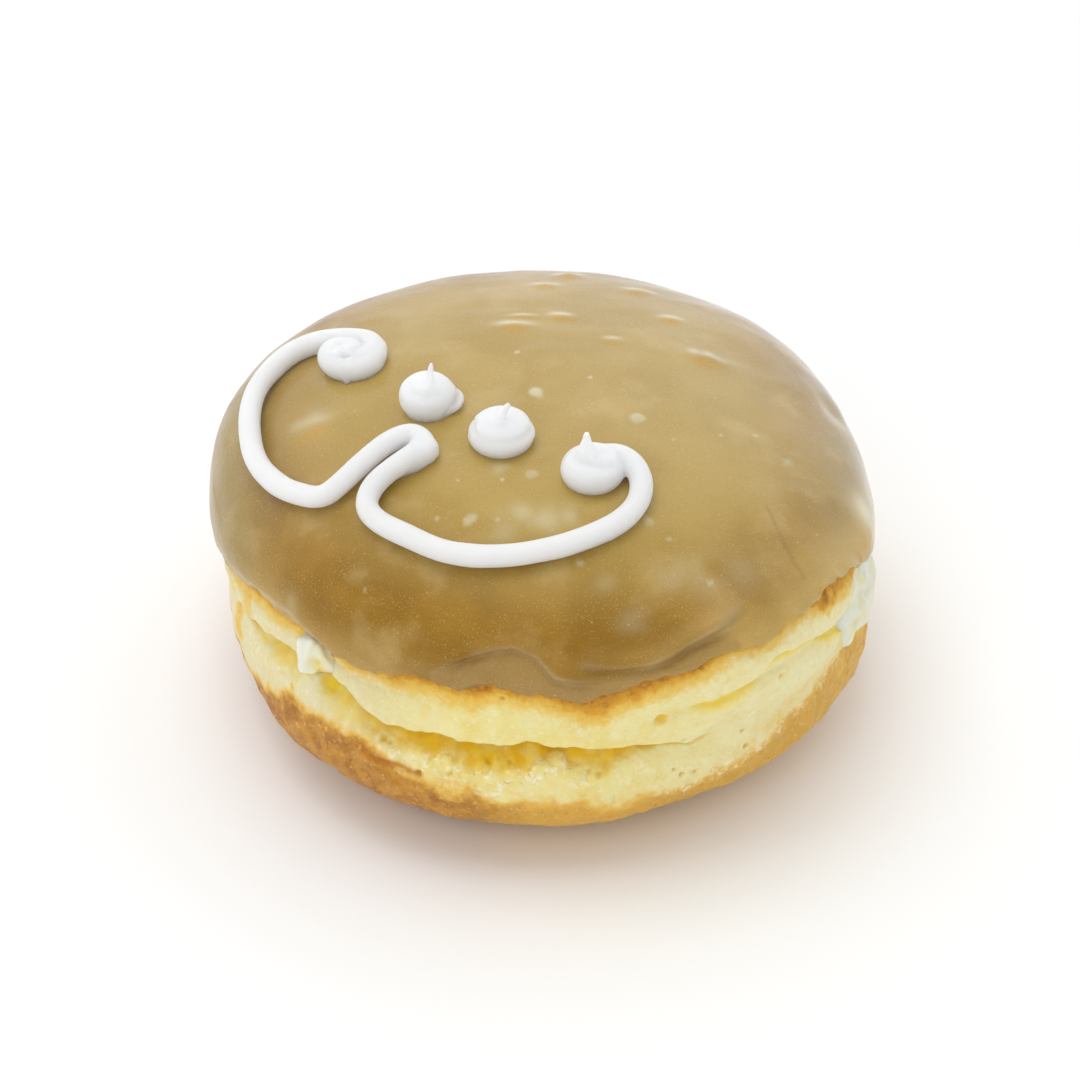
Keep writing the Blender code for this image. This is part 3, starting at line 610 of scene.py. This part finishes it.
def dough_paint():
    paint = Paint(
        "soft_fried_dough", Specular_IOR_Level=0.35, Subsurface_Weight=0.25,
        Subsurface_Scale=0.002, Subsurface_Radius=(1.0, 0.7, 0.3),
    )
    crust, toast, pocket, torn, gilt, glow, crack = paint.tinted(
        "crust", "toast", "pocket", "torn", "gilt", "glow", "crack")
    beside = paint.measured("X")
    aside = beside.step(0.004, 0.036)
    crags = paint.noise(0.9, 4.0, 0.65, warp=0.5)
    pits = torn * paint.noise(0.7, 3.0, 0.6, warp=0.8).step(0.62, 0.7)
    fuzz = paint.noise(1.0, 5.0, 0.75) - 0.5

    # The yellow of the painted shade in the open gap, paler on the left.
    open_yellow = paint.mix(
        shade(238, 196, 40), shade(238, 214, 112), beside.step(-0.016, -0.026) * 0.8)
    crumb = paint.layered(
        shade(240, 222, 138),
        (shade(243, 231, 166), paint.noise(3.5, 3.0).step(0.3, 0.7)),
        (shade(243, 236, 196), aside * 0.6),
        (shade(228, 218, 178), beside.step(-0.01, -0.028) * 0.8),
        (shade(238, 206, 118), gilt * (0.25 + 0.5 * paint.noise(3.0, 3.0).step(0.4, 0.65))),
        (shade(240, 208, 108), paint.noise(2.6, 3.0, 0.55).step(0.52, 0.75) * 0.38),
        (shade(250, 244, 208), paint.noise(0.9, 3.0, 0.6).step(0.52, 0.72) * 0.4),
        # Painted yellow shade in the open gap and in the holes.
        (open_yellow, pocket * (0.6 + 0.4 * paint.noise(2.2, 2.0).step(0.35, 0.6))),
        # Painted yellow glow of light in the shade under the split and in wide holes.
        (shade(248, 218, 70), glow),
        # Pale crags of ragged crumb: partly its own paler colour, partly painted highlight on their
        # tops.
        (shade(253, 250, 228), torn * crags.step(0.5, 0.66) * 0.65),
        # Painted shade in the pits of the ragged crumb.
        (shade(218, 178, 70), pits * 0.75),
    )
    gold = paint.layered(
        shade(208, 148, 52),
        (shade(176, 114, 32), paint.noise(2.4, 5.0, 0.6).step(0.38, 0.66)),
        (shade(150, 90, 24), paint.noise(5.0, 4.0).step(0.5, 0.75) * 0.6),
        (shade(236, 186, 76), beside.step(-0.014, 0.002) * 0.75),
        (shade(246, 210, 132), paint.noise(0.8, 4.0, 0.7).step(0.55, 0.7) * 0.6),
        (shade(132, 80, 26), paint.noise(0.6, 3.0, 0.6).step(0.58, 0.75) * 0.55),
    )
    crust_edge = crust + fuzz * (0.8 + 0.5 * aside)
    toast_edge = toast + fuzz * 0.7
    dark = 0.4 + 0.6 * paint.noise(1.1, 3.0).step(0.4, 0.6)
    base = paint.layered(
        crumb,
        (shade(238, 192, 88), crust_edge.step(0.0, 0.55)),
        (gold, crust_edge.step(0.35, 0.9)),
        (shade(250, 238, 196), torn * crags.step(0.5, 0.62) * crust.step(0.1, 0.5) * 0.7),
        (shade(186, 112, 18), crack * 0.8),
        (shade(238, 194, 78), toast_edge.step(0.05, 0.5) * 0.9),
        (shade(222, 162, 48), toast_edge.step(0.45, 0.75)),
        (shade(182, 120, 36), toast_edge.step(0.7, 1.0) * dark),
    )
    paint.set("Base Color", base)
    paint.set("Roughness", 0.68 - 0.2 * crust)
    calm = 1.0 - 0.7 * pocket
    paint.bump(
        (paint.noise(2.2, 2.0, 0.5) * calm, 0.4), (paint.noise(0.8, 1.0, 0.5) * calm, 0.14),
        (paint.noise(0.3, 2.0), 0.05), (crags * torn, 0.12), (1.0 - pits, 0.06),
        (paint.noise(0.9, 4.0, 0.7) * crust, 0.4),
    )
    return paint.material


def glaze_paint():
    paint = Paint("coffee_glaze", Specular_IOR_Level=0.3, Coat_Roughness=0.16)
    film, blot, crack, warm, pale, thin = paint.tinted(
        "film", "blot", "crack", "warm", "pale", "thin")
    up = paint.measured("Z").step(0.038, 0.0455)
    far = paint.measured("Y").step(-0.04, 0.0)
    across = paint.measured("X")
    # Darker and more saturated low down than on top: partly painted shade, partly its own colour.
    low = paint.mix(
        shade(158, 116, 30), shade(142, 102, 16), paint.noise(9.0, 2.0).step(0.35, 0.65))
    high = paint.mix(
        shade(182, 152, 78), shade(173, 142, 64), paint.noise(12.0, 2.0).step(0.35, 0.65))
    grain = paint.noise(0.24, 1.0, 0.6)
    light = grain.step(0.58, 0.74) * (0.4 + 0.6 * paint.noise(3.0, 2.0).step(0.4, 0.6))
    large = paint.specks(2.4, 0.24, 0.3, 0.31)
    base = paint.layered(
        low,
        (high, up),
        # Painted sheen: soft pale patches, where light would reflect off the glaze.
        (shade(200, 172, 112), paint.noise(8.0, 3.0).step(0.5, 0.72) * 0.4),
        # Painted sheen: greyer along the left and right sides.
        (shade(160, 142, 74), abs(across).step(0.030, 0.044) * 0.6),
        # Painted light near the lower edge, as if lit from below.
        (shade(206, 174, 102), thin * (0.6 + 0.35 * paint.noise(4.0, 3.0))),
        # Painted shade on the front slopes of the lumps.
        (shade(200, 154, 66), warm),
        (shade(170, 136, 76), film * (0.5 + 0.5 * paint.noise(2.0, 3.0))),
        # Painted sheen on the backs of lumps, above folds and along the left edge.
        (shade(230, 218, 180), pale),
        # Pale blots, and painted sheen patches.
        (shade(212, 205, 170), blot),
        # The hairline crack, and painted shadow below the folds.
        (shade(110, 80, 34), crack * 0.35),
        (shade(222, 188, 112), light * 0.4),
        (shade(120, 84, 20), (1.0 - grain).step(0.62, 0.74) * 0.2),
        (shade(224, 200, 140), large * 0.5),
    )
    paint.set("Base Color", base)
    paint.set("Roughness", 0.36 + 0.12 * paint.noise(3.0, 3.0))
    glossy = 0.2 + 0.8 * far * (1.0 - 0.5 * (1.0 - across.step(-0.02, 0.03)))
    paint.set("Coat Weight", glossy)
    flow = paint.noise(1.1, 4.0, 0.55, paint.stretched((0.25, 0.25, 1.0)), 0.6)
    paint.bump(
        (paint.noise(3.0, 2.0), 0.08), (flow * (1.0 - up), 0.26), (light, 0.02), (large, 0.05))
    return paint.material


def icing_paint():
    paint = Paint(
        "white_icing", Specular_IOR_Level=0.3, Subsurface_Weight=1.0, Subsurface_Scale=0.006,
        Subsurface_Radius=(1.0, 1.0, 1.0),
    )
    base = paint.mix(shade(233, 234, 235), shade(229, 230, 231), paint.noise(3.0, 2.0))
    paint.set("Base Color", base)
    paint.set("Roughness", 0.45 + 0.1 * paint.noise(1.2, 2.0))
    paint.bump((paint.noise(1.6, 2.0), 0.03))
    return paint.material


def cream_paint():
    paint = Paint(
        "bavarian_cream", Specular_IOR_Level=0.45, Subsurface_Weight=0.5,
        Subsurface_Scale=0.002, Subsurface_Radius=(1.0, 0.9, 0.7),
    )
    at_right = paint.measured("X").step(0.03, 0.036)
    (thin,) = paint.tinted("thin")
    base = paint.layered(
        shade(230, 232, 222),
        (shade(235, 233, 208), paint.noise(2.5, 2.0)),
        (shade(236, 228, 166), at_right * paint.noise(2.4, 3.0, 0.6).step(0.4, 0.65) * 0.7),
        # Sunk places in the torn cream are painted yellow.
        (shade(236, 218, 120), thin),
    )
    paint.set("Base Color", base)
    paint.set("Roughness", 0.30 + 0.15 * paint.noise(2.0, 2.0))
    paint.bump((paint.noise(1.8, 3.0), 0.15))
    return paint.material


def floor_paint():
    paint = Paint("pale_floor", Specular_IOR_Level=0.2)
    base = paint.mix(shade(250, 250, 250), shade(252, 252, 252), paint.noise(80.0))
    paint.set("Base Color", base)
    paint.set("Roughness", 0.6 + 0.05 * paint.noise(30.0))
    return paint.material


# ---- the dough -----------------------------------------------------------------------------


def dough_blank():
    """The solid's form, with more points on the side that shows."""
    piece = copy_of("dough", "soft_dough")
    subdivide(piece, 1)

    def side(middles, normals):
        reach = np.hypot(middles[:, 0], middles[:, 1])
        top = glaze_edge(angle_of(middles)) + 1.0
        return (reach > SIDE_FROM) & (middles[:, 2] < top) & (normals[:, 2] > -0.6)

    def seen_side(middles, normals):
        return side(middles, normals) & (middles[:, 1] < 8.0)

    finer_where(piece, side, 1.0)
    finer_where(piece, seen_side, 1.0)
    return piece


def torn_lip(piece, points, along):
    """The points with a ragged lip, and the crease shut on the right and above the cream."""
    degrees = angle_of(points)
    off = points[:, 2] - around(LIP_EDGE, degrees)
    points[:, 2] += hill(off / 1.6) * (0.55 * clouds(along, 2.6, 17) + 0.3 * clouds(along, 1.1, 18))
    shut = within(CREASE_SHUT, degrees)
    shut *= hill((points[:, 2] - around(LIP_EDGE, degrees)) / 3.6)
    points += shut[:, None] * (relaxed(piece, points, 600) - points)
    closing = hill(np.linalg.norm(points - np.array(TEAR_FLAP), axis=1) / 2.0)
    return points + closing[:, None] * np.array(FLAP_MOVE)


def toasted(points, fibres):
    """How brown the line below the glaze and the scorched patches are."""
    degrees, height = angle_of(points), points[:, 2]
    below = glaze_edge(degrees) - height
    below = below + 0.5 * clouds(points, 2.4, 3) + 0.3 * clouds(points, 0.9, 4)
    reach = around(TOASTED, degrees)
    halo = 0.6 - 0.6 * (below - reach) / TOAST_FADES
    toast = np.clip(np.where(below < reach, 1.0 - 0.4 * below / reach, halo), 0.0, 1.0)
    for angle, up, wide, tall, brown in SCORCHED:
        gap = np.hypot((mm_round(degrees) - mm_round(angle)) / wide, (height - up) / tall)
        patch = ease(1.5 - gap * (1.0 + 0.35 * clouds(points, 1.2, 13))) * (0.85 + 0.3 * fibres)
        toast = np.maximum(toast, brown * patch)
    return toast


def split_crumb(points, along, seen):
    """Where the upper crumb tore over the lower: its relief, and the painted yellow glow under its
    edge.
    """
    degrees = angle_of(points)
    angles, heights = np.array(SPLIT).T
    under = np.interp(degrees, angles, heights) + 0.4 * clouds(along, 2.0, 22) - points[:, 2]
    there = within(SPLIT_OPEN, degrees) * seen
    fold = there * (hill((under + 0.7) / 0.7) * 0.3 - hill((under - 0.3) / 0.45) * 0.4)
    glow = there * ease((under + 0.2) / 0.3) * ease(1.0 - under / 2.4)
    return fold, glow * (0.8 + 0.3 * clouds(points, 1.8, 23))


def make_dough():
    piece = dough_blank()
    points = relaxed(piece, points_of(piece), 4)
    along = laid_flat(angle_of(points))
    points = torn_lip(piece, points, along)
    put(piece, points)
    normals = normals_of(piece)
    degrees, height = angle_of(points), points[:, 2]
    seen = np.hypot(points[:, 0], points[:, 1]) > CRUMB_FROM

    # The brown heel, the golden crumb above it and the toasted line below the glaze.
    fibres = clouds(laid_flat(degrees, height * 0.35), 0.75, 15)
    uneven = 1.2 * clouds(points, 6.0, 1) + 0.8 * clouds(points, 2.0, 2)
    uneven += 0.5 * clouds(points, 0.9, 20)
    above_crust = height - around(CRUST_TOP, degrees)
    crust = ease((uneven - above_crust) / 4.2 + 0.5)
    golden = GOLD_RISE + GOLD_RISE * within(GOLDEN_CRUMB, degrees)
    gilt = ease((golden + 1.5 * uneven - above_crust) / 4.0)
    gilt *= 0.2 + 0.8 * ease((degrees + 80.0) / 20.0)
    toast = toasted(points, fibres)
    crack = hill(away_from(laid_flat(degrees, height), laid_flat(*np.array(CRACK).T)) / 0.4)

    # The open gap below the lip, painted yellow as shade, its torn lower edge, and the split on the
    # right.
    below_lip = around(LIP_EDGE, degrees) - height
    opening = around(POCKET, degrees)
    depth = opening * (1.0 + 0.3 * clouds(points, 2.0, 14))
    pocket = ease((below_lip + 0.3) / 0.6) * ease(1.6 - 1.3 * below_lip / depth) * seen
    pocket *= 1.0 - within(CREASE_SHUT, degrees)
    torn = hill(below_lip - depth) * (opening > 1.5) * seen
    fold, glow = split_crumb(points, along, seen)

    # Relief: crumb with pores, the gap's fibres, ragged edges, crust and toast.
    crumb = (1.0 - crust) * (1.0 - toast)
    lift = crumb * (0.16 * clouds(points, 2.8, 5) + 0.08 * clouds(points, 1.1, 6))
    pores = ease((clouds(points, 1.1, 7) - 0.45) / 0.3) * ease((clouds(points, 4.0, 8) + 0.1) / 0.4)
    lift -= crumb * ease((POROUS_BELOW - height) / 4.0) * pores * 0.4
    lift -= pocket * (0.5 + 0.45 * fibres)
    lift += torn * (0.35 * clouds(points, 1.4, 16) + 0.25 * clouds(points, 0.7, 19))
    lift += crust * (0.28 * clouds(points, 2.6, 9) + 0.13 * clouds(points, 1.0, 10))
    lift += toast * 0.16 * clouds(points, 1.0, 11) - crack * 0.14 + fold
    for angle, up, wide, sunk in HOLES:
        gap = np.hypot(mm_round(degrees) - mm_round(angle), height - up)
        gap *= 1.0 + 0.25 * clouds(points, 0.7, 12)
        hole = ease(1.35 - gap / wide * 0.9)
        lift -= sunk * hole
        # Each hole also gets the painted yellow shade of the gap.
        pocket = np.maximum(pocket, 0.95 * hole)
        glow = np.maximum(glow, hole * (wide > WIDE_HOLE))
    points = points + normals * lift[:, None]
    points[:, 2] = np.maximum(points[:, 2], 0.0)
    put(piece, points)

    # Pale ragged crumb below the gap, and tufts of it along the crust's top on the right.
    ragged = ease(below_lip - 0.6 * depth) * ease((depth + 3.2 - below_lip) / 2.0)
    ragged *= ease((opening - 1.0) / 1.2) * seen * ease(clouds(points, 3.0, 21) + 0.7)
    ragged *= 0.2 + 0.8 * ease((degrees + 124.0) / 8.0)
    tufts = within(TUFTED_CRUST, degrees) * hill((uneven - above_crust + 0.3) / 1.3)
    tint(piece, torn=np.maximum(ragged, tufts), crust=crust, gilt=gilt, glow=glow, crack=crack,
         toast=toast, pocket=pocket)
    dress(piece, "dough", dough_paint())


# ---- the glaze -----------------------------------------------------------------------------


def outward(points, normals):
    """How far the skin faces away from the glaze's heart, in mm."""
    return np.einsum("ij,ij->i", points - np.array(GLAZE_HEART), normals)


def glaze_blank():
    """The solid's form, with more points on the outer skin where it shows."""
    piece = copy_of("glaze", "coffee_glaze_coat")
    subdivide(piece, 2)

    def shown(middles, normals):
        in_view = (middles[:, 1] < 14.0) | (middles[:, 2] > 40.0)
        return (outward(middles, normals) > 0.0) & in_view

    finer_where(piece, shown)
    return piece


def sagged(points):
    """Folds where the glaze sagged: their lift, the painted shadow below and the painted sheen
    above.
    """
    degrees, height = angle_of(points), points[:, 2]
    lift, dark, pale = np.zeros((3, len(points)))
    for deep, *route in FOLDS:
        angles, heights = np.array(route).T
        off = height - np.interp(degrees, angles, heights)
        there = within((angles[0], 5.0, angles[-1], 6.0), degrees)
        lift += deep * there * (1.8 * hill((off - 1.0) / 0.9) - 1.1 * hill((off + 0.3) / 0.5))
        dark = np.maximum(dark, 0.6 * there * hill((off + 0.2) / 0.4))
        shine = 0.14 * there * hill((off - 0.3) / 0.7)
        pale = np.maximum(pale, shine * ease(0.7 + clouds(points, 3.0, 28)))
    return lift, dark, pale


def half_widths_off(points, x, y, wide, long):
    """How many half widths each point lies from a lump on the glaze."""
    gap = points - highest_near(points, x, y)
    return np.hypot(gap[:, 0] / wide, np.hypot(gap[:, 1], gap[:, 2]) / long)


def lumped(points):
    """Lumps under the glaze: their lift, painted shade on the slope in front and painted sheen
    behind.
    """
    lift, warm, pale = np.zeros((3, len(points)))
    for x, y, wide, long, tall in LUMPS:
        front = half_widths_off(points, x, y - 0.8 * long, wide, long)
        back = half_widths_off(points, x, y + 0.8 * long, 1.1 * wide, 0.7 * long)
        lift += 1.3 * tall * hill(half_widths_off(points, x, y, wide, long))
        warm = np.maximum(warm, 0.55 * hill(1.15 * front) * (tall > 0.1))
        pale = np.maximum(pale, 0.8 * hill(back) * np.clip(8.0 * tall - 0.6, 0.0, 1.0))
    return lift, warm, pale


def off_spot(points, x, y):
    """How far each point lies from a spot on the glaze, in mm."""
    return np.linalg.norm(points - highest_near(points, x, y), axis=1)


def milky(points):
    """How pale the blots and the painted sheen patches are."""
    blot = np.zeros(len(points))
    for x, y, wide, strength in BLOTS:
        gap = off_spot(points, x, y) * (1.0 + 0.4 * clouds(points, 1.3 * wide, 24)) / wide
        blot = np.maximum(blot, strength * ease((1.25 - gap) / 0.7))
    patchy = ease(0.7 + 0.9 * clouds(points, 3.2, 24))
    for x, y, wide, strength in HAZE:
        blot = np.maximum(blot, 1.5 * strength * patchy * hill(off_spot(points, x, y) / wide))
    return blot


def make_glaze():
    piece = glaze_blank()
    points = relaxed(piece, points_of(piece), 3)
    put(piece, points)
    normals = normals_of(piece)
    degrees, height = angle_of(points), points[:, 2]
    edge = glaze_edge(degrees)

    # Slow waves all over, ripples towards the back, and fine drawn ones on the side.
    front = ease((-points[:, 1] - 5.0) / 20.0)
    far = ease((points[:, 1] + 2.0) / 18.0)
    side = ease((38.0 - height) / 7.0)
    lift = (0.22 + 0.10 * front) * clouds(points, 10.0, 20) + 0.08 * clouds(points, 4.5, 21)
    lift += far * 0.09 * clouds(points, 2.6, 22, (3.5, 1.0, 1.0))
    lift += side * 0.12 * clouds(points, 1.2, 23, (5.0, 5.0, 1.0))
    fold_lift, crack, fold_pale = sagged(points)
    lump_lift, warm, lump_pale = lumped(points)
    lift += fold_lift + lump_lift
    for x, y, wide in BUBBLES:
        lift += 0.14 * ease(1.3 - off_spot(points, x, y) / wide)
    hairline = hill(away_from(points, HAIRLINE) / 0.22)
    lift -= 0.02 * hairline
    # A painted sheen line runs along the edge on the left.
    pale = 0.28 * ease(1.0 - np.abs(height - edge - 1.1) / 0.8) * ease((-128.0 - degrees) / 8.0)
    pale *= ease(0.6 + clouds(points, 1.2, 29, (2.0, 2.0, 1.0)))
    pale = np.maximum(pale, np.maximum(fold_pale, lump_pale))

    skin = ease(outward(points, normals) / 8.0)
    points = points + normals * (lift * skin)[:, None]
    along = laid_flat(degrees)
    rim = ease(1.0 - (height - edge) / 1.8)
    points[:, 2] += rim * (0.7 * clouds(along, 2.4, 26) + 0.5 * clouds(along, 0.9, 27))
    dripping = rim * within(GLAZE_DRIPS, degrees)
    points[:, 2] -= 1.4 * dripping * ease(clouds(along, 1.0, 25) * 1.5)
    put(piece, points)

    above = height - edge
    roll = around(ROLL_ABOVE_EDGE, degrees)
    film = ease((roll - 0.3 - above) / 1.4 + 0.5) * (roll > 1.5)
    # The glaze is painted paler towards its edge, most of all on the right, as painted light from
    # below.
    thin = ease(1.0 - above / 7.0) * within(THIN_AT_RIGHT, degrees)
    at_left = ease(1.0 - above / 6.0) * within(THIN_AT_LEFT, degrees)
    tint(piece, film=film, blot=milky(points), crack=np.maximum(crack, hairline), warm=warm,
         pale=pale, thin=np.maximum(thin, 0.6 * at_left))
    dress(piece, "glaze", glaze_paint())
    return piece


# ---- the icing -----------------------------------------------------------------------------


def curved(line, steps=5):
    """More keys along a line, so that it bends softly through all that are given."""
    line = np.array(line)
    keys = (2.0 * line[0] - line[1], *line, 2.0 * line[-1] - line[-2])
    share = np.linspace(0.0, 1.0, steps, endpoint=False)[:, None]
    stretches = [
        0.5 * (2.0 * b + (c - a) * share + (2.0 * a - 5.0 * b + 4.0 * c - d) * share**2
               + (3.0 * b - a - 3.0 * c + d) * share**3)
        for a, b, c, d in zip(keys, keys[1:], keys[2:], keys[3:])
    ]
    return np.concatenate((*stretches, line[-1:]))


def strand(name, line):
    """A string of icing along a line of x, y, z and half thickness, in mm."""
    line = curved(line)
    curve = bpy.data.curves.new(name, "CURVE")
    curve.dimensions = "3D"
    curve.bevel_depth = MM
    curve.bevel_resolution = 5
    curve.use_fill_caps = True
    spline = curve.splines.new("POLY")
    spline.points.add(len(line) - 1)
    for point, (*place, half) in zip(spline.points, line):
        point.co = (*placed(*place), 1.0)
        point.radius = half
    piece = bpy.data.objects.new(name, curve)
    bpy.context.scene.collection.objects.link(piece)
    pick(piece)
    bpy.ops.object.convert(target="MESH")
    return bpy.context.object


def tier(place, wide, tall):
    """A flat round ball at a place, with its half width and half height in mm."""
    bpy.ops.mesh.primitive_uv_sphere_add(
        segments=32, ring_count=16, radius=MM, location=placed(*place), scale=(wide, wide, tall))
    bpy.ops.object.transform_apply(location=True, rotation=False, scale=True)
    return bpy.context.object


def fused(name, parts):
    """One smooth skin over all the parts."""
    bpy.ops.object.select_all(action="DESELECT")
    for part in parts:
        part.select_set(True)
    bpy.context.view_layer.objects.active = parts[0]
    bpy.ops.object.join()
    piece = bpy.context.object
    piece.name = piece.data.name = name
    piece.data.remesh_voxel_size = ICING_GRAIN * MM
    bpy.ops.object.voxel_remesh()
    put(piece, relaxed(piece, points_of(piece), 5))
    return piece


def ground(tree, x, y):
    """The glaze's height in mm under a point."""
    hit, *_ = tree.ray_cast(Vector(placed(x, y, 100.0)), Vector((0, 0, -1)))
    return hit.z / MM


def settle(piece, tree):
    """Draws the icing's underside down into the glaze."""
    points = points_of(piece)
    above = np.array([z - ground(tree, x, y) for x, y, z in points])
    points[:, 2] -= ICING_SINK * ease(1.0 - above / SINK_BELOW)
    put(piece, points)


def make_icing(tree, paint, node, name, spire, laid, tiers, creases, top):
    """One piece of icing: its solid, strands and tiers fused, creased and settled."""
    base = copy_of(node, name)
    points = points_of(base)
    points[:, 2] = np.minimum(points[:, 2], top)
    points[:, 1] -= COIL_FORWARD * ease((points[:, 1] - 4.0) / 8.0)
    put(base, points)
    subdivide(base, 1)
    put(base, points_of(base) + ICING_PROUD * normals_of(base))
    parts = [base, strand(f"{name}_spire", spire)]
    for line in laid:
        on_glaze = [(x, y, ground(tree, x, y) + up, half) for x, y, up, half in line]
        parts.append(strand(f"{name}_strand", on_glaze))
    for x, y, up, wide, tall in tiers:
        parts.append(tier((x, y, ground(tree, x, y) + up), wide, tall))
    piece = fused(name, parts)
    points = points_of(piece)
    lift = ICING_PROUD * clouds(points, 3.0, 40) - creased(points, creases)
    put(piece, relaxed(piece, points + normals_of(piece) * lift[:, None], 1))
    settle(piece, tree)
    dress(piece, node, paint)


# ---- the cream -----------------------------------------------------------------------------


def make_cream():
    piece = copy_of("cream_filling", "soft_cream")
    subdivide(piece, 3)
    finer_where(piece, lambda middles, _: np.hypot(middles[:, 0], middles[:, 1]) > CREAM_FROM)
    points = relaxed(piece, points_of(piece), 2)
    put(piece, points)
    # The right end is a little wider and more uneven than its solid.
    gap = points - np.array(MOUTH)
    out = np.array(MOUTH) * (1.0, 1.0, 0.0) / np.hypot(*MOUTH[:2])
    near = ease((gap @ out + 5.0) / 3.0)
    aside = gap - (gap @ out)[:, None] * out
    points += (near * (0.13 + 0.18 * clouds(points, 3.4, 32)))[:, None] * aside
    lift = 0.25 + 0.25 * clouds(points, 2.8, 30) + 0.1 * clouds(points, 1.0, 31)
    lift += near * (0.6 * clouds(points, 2.6, 33) + 0.3 * clouds(points, 1.2, 34))
    thin = np.zeros(len(points))
    for wide, rise, *route in STRANDS:
        pulled = hill(away_from(points, route) / wide)
        lift += rise * pulled
        thin = np.maximum(thin, pulled * (rise < 0.0))
    put(piece, points + normals_of(piece) * lift[:, None])
    tint(piece, thin=thin)
    dress(piece, "cream_filling", cream_paint())


# ---- the studio ----------------------------------------------------------------------------


def make_floor():
    bpy.ops.mesh.primitive_plane_add(size=FLOOR_SIZE, location=(0.0, 0.0, 0.0))
    floor = bpy.context.object
    floor.name = "pale_floor"
    floor.data.materials.append(floor_paint())


def make_room_light():
    world = bpy.data.worlds.new("soft_studio")
    bpy.context.scene.world = world
    world.use_nodes = True
    nodes, links = world.node_tree.nodes, world.node_tree.links
    place = nodes.new("ShaderNodeTexCoord")
    split = nodes.new("ShaderNodeSeparateXYZ")
    ramp = nodes.new("ShaderNodeMapRange")
    links.new(place.outputs["Generated"], split.inputs[0])
    links.new(split.outputs["Y"], ramp.inputs["Value"])
    ramp.interpolation_type = "SMOOTHSTEP"
    for socket, value in ROOM_LIGHT.items():
        ramp.inputs[socket].default_value = value
    links.new(ramp.outputs["Result"], nodes["Background"].inputs["Strength"])
    nodes["Background"].inputs["Color"].default_value = ROOM_COLOUR


def make_softboxes():
    for name, place, side, power in SOFTBOXES:
        bpy.ops.object.light_add(type="AREA", location=place)
        lamp = bpy.context.object
        lamp.name = name
        lamp.data.energy, lamp.data.size = power, side
        lamp.rotation_euler = (-Vector(place)).to_track_quat("-Z", "Y").to_euler()
        lamp.visible_glossy = False


def make_camera():
    tilt = math.radians(ELEVATION)
    spot = (0.0, -DISTANCE * math.cos(tilt), AIM_HEIGHT + DISTANCE * math.sin(tilt))
    turned = (math.radians(90.0) - tilt, 0.0, 0.0)
    bpy.ops.object.camera_add(location=placed(*spot), rotation=turned)
    camera = bpy.context.object
    camera.data.lens = LENS
    camera.data.sensor_width = SENSOR
    camera.data.shift_x, camera.data.shift_y = SHIFT
    camera.data.clip_start = 0.01
    bpy.context.scene.camera = camera
    bpy.context.scene.view_settings.view_transform = "Standard"


make_dough()
glaze = make_glaze()
tree = BVHTree.FromObject(glaze, bpy.context.evaluated_depsgraph_get())
icing = icing_paint()
for icing_piece in ICINGS:
    make_icing(tree, icing, *icing_piece)
make_cream()
make_floor()
make_room_light()
make_softboxes()
make_camera()
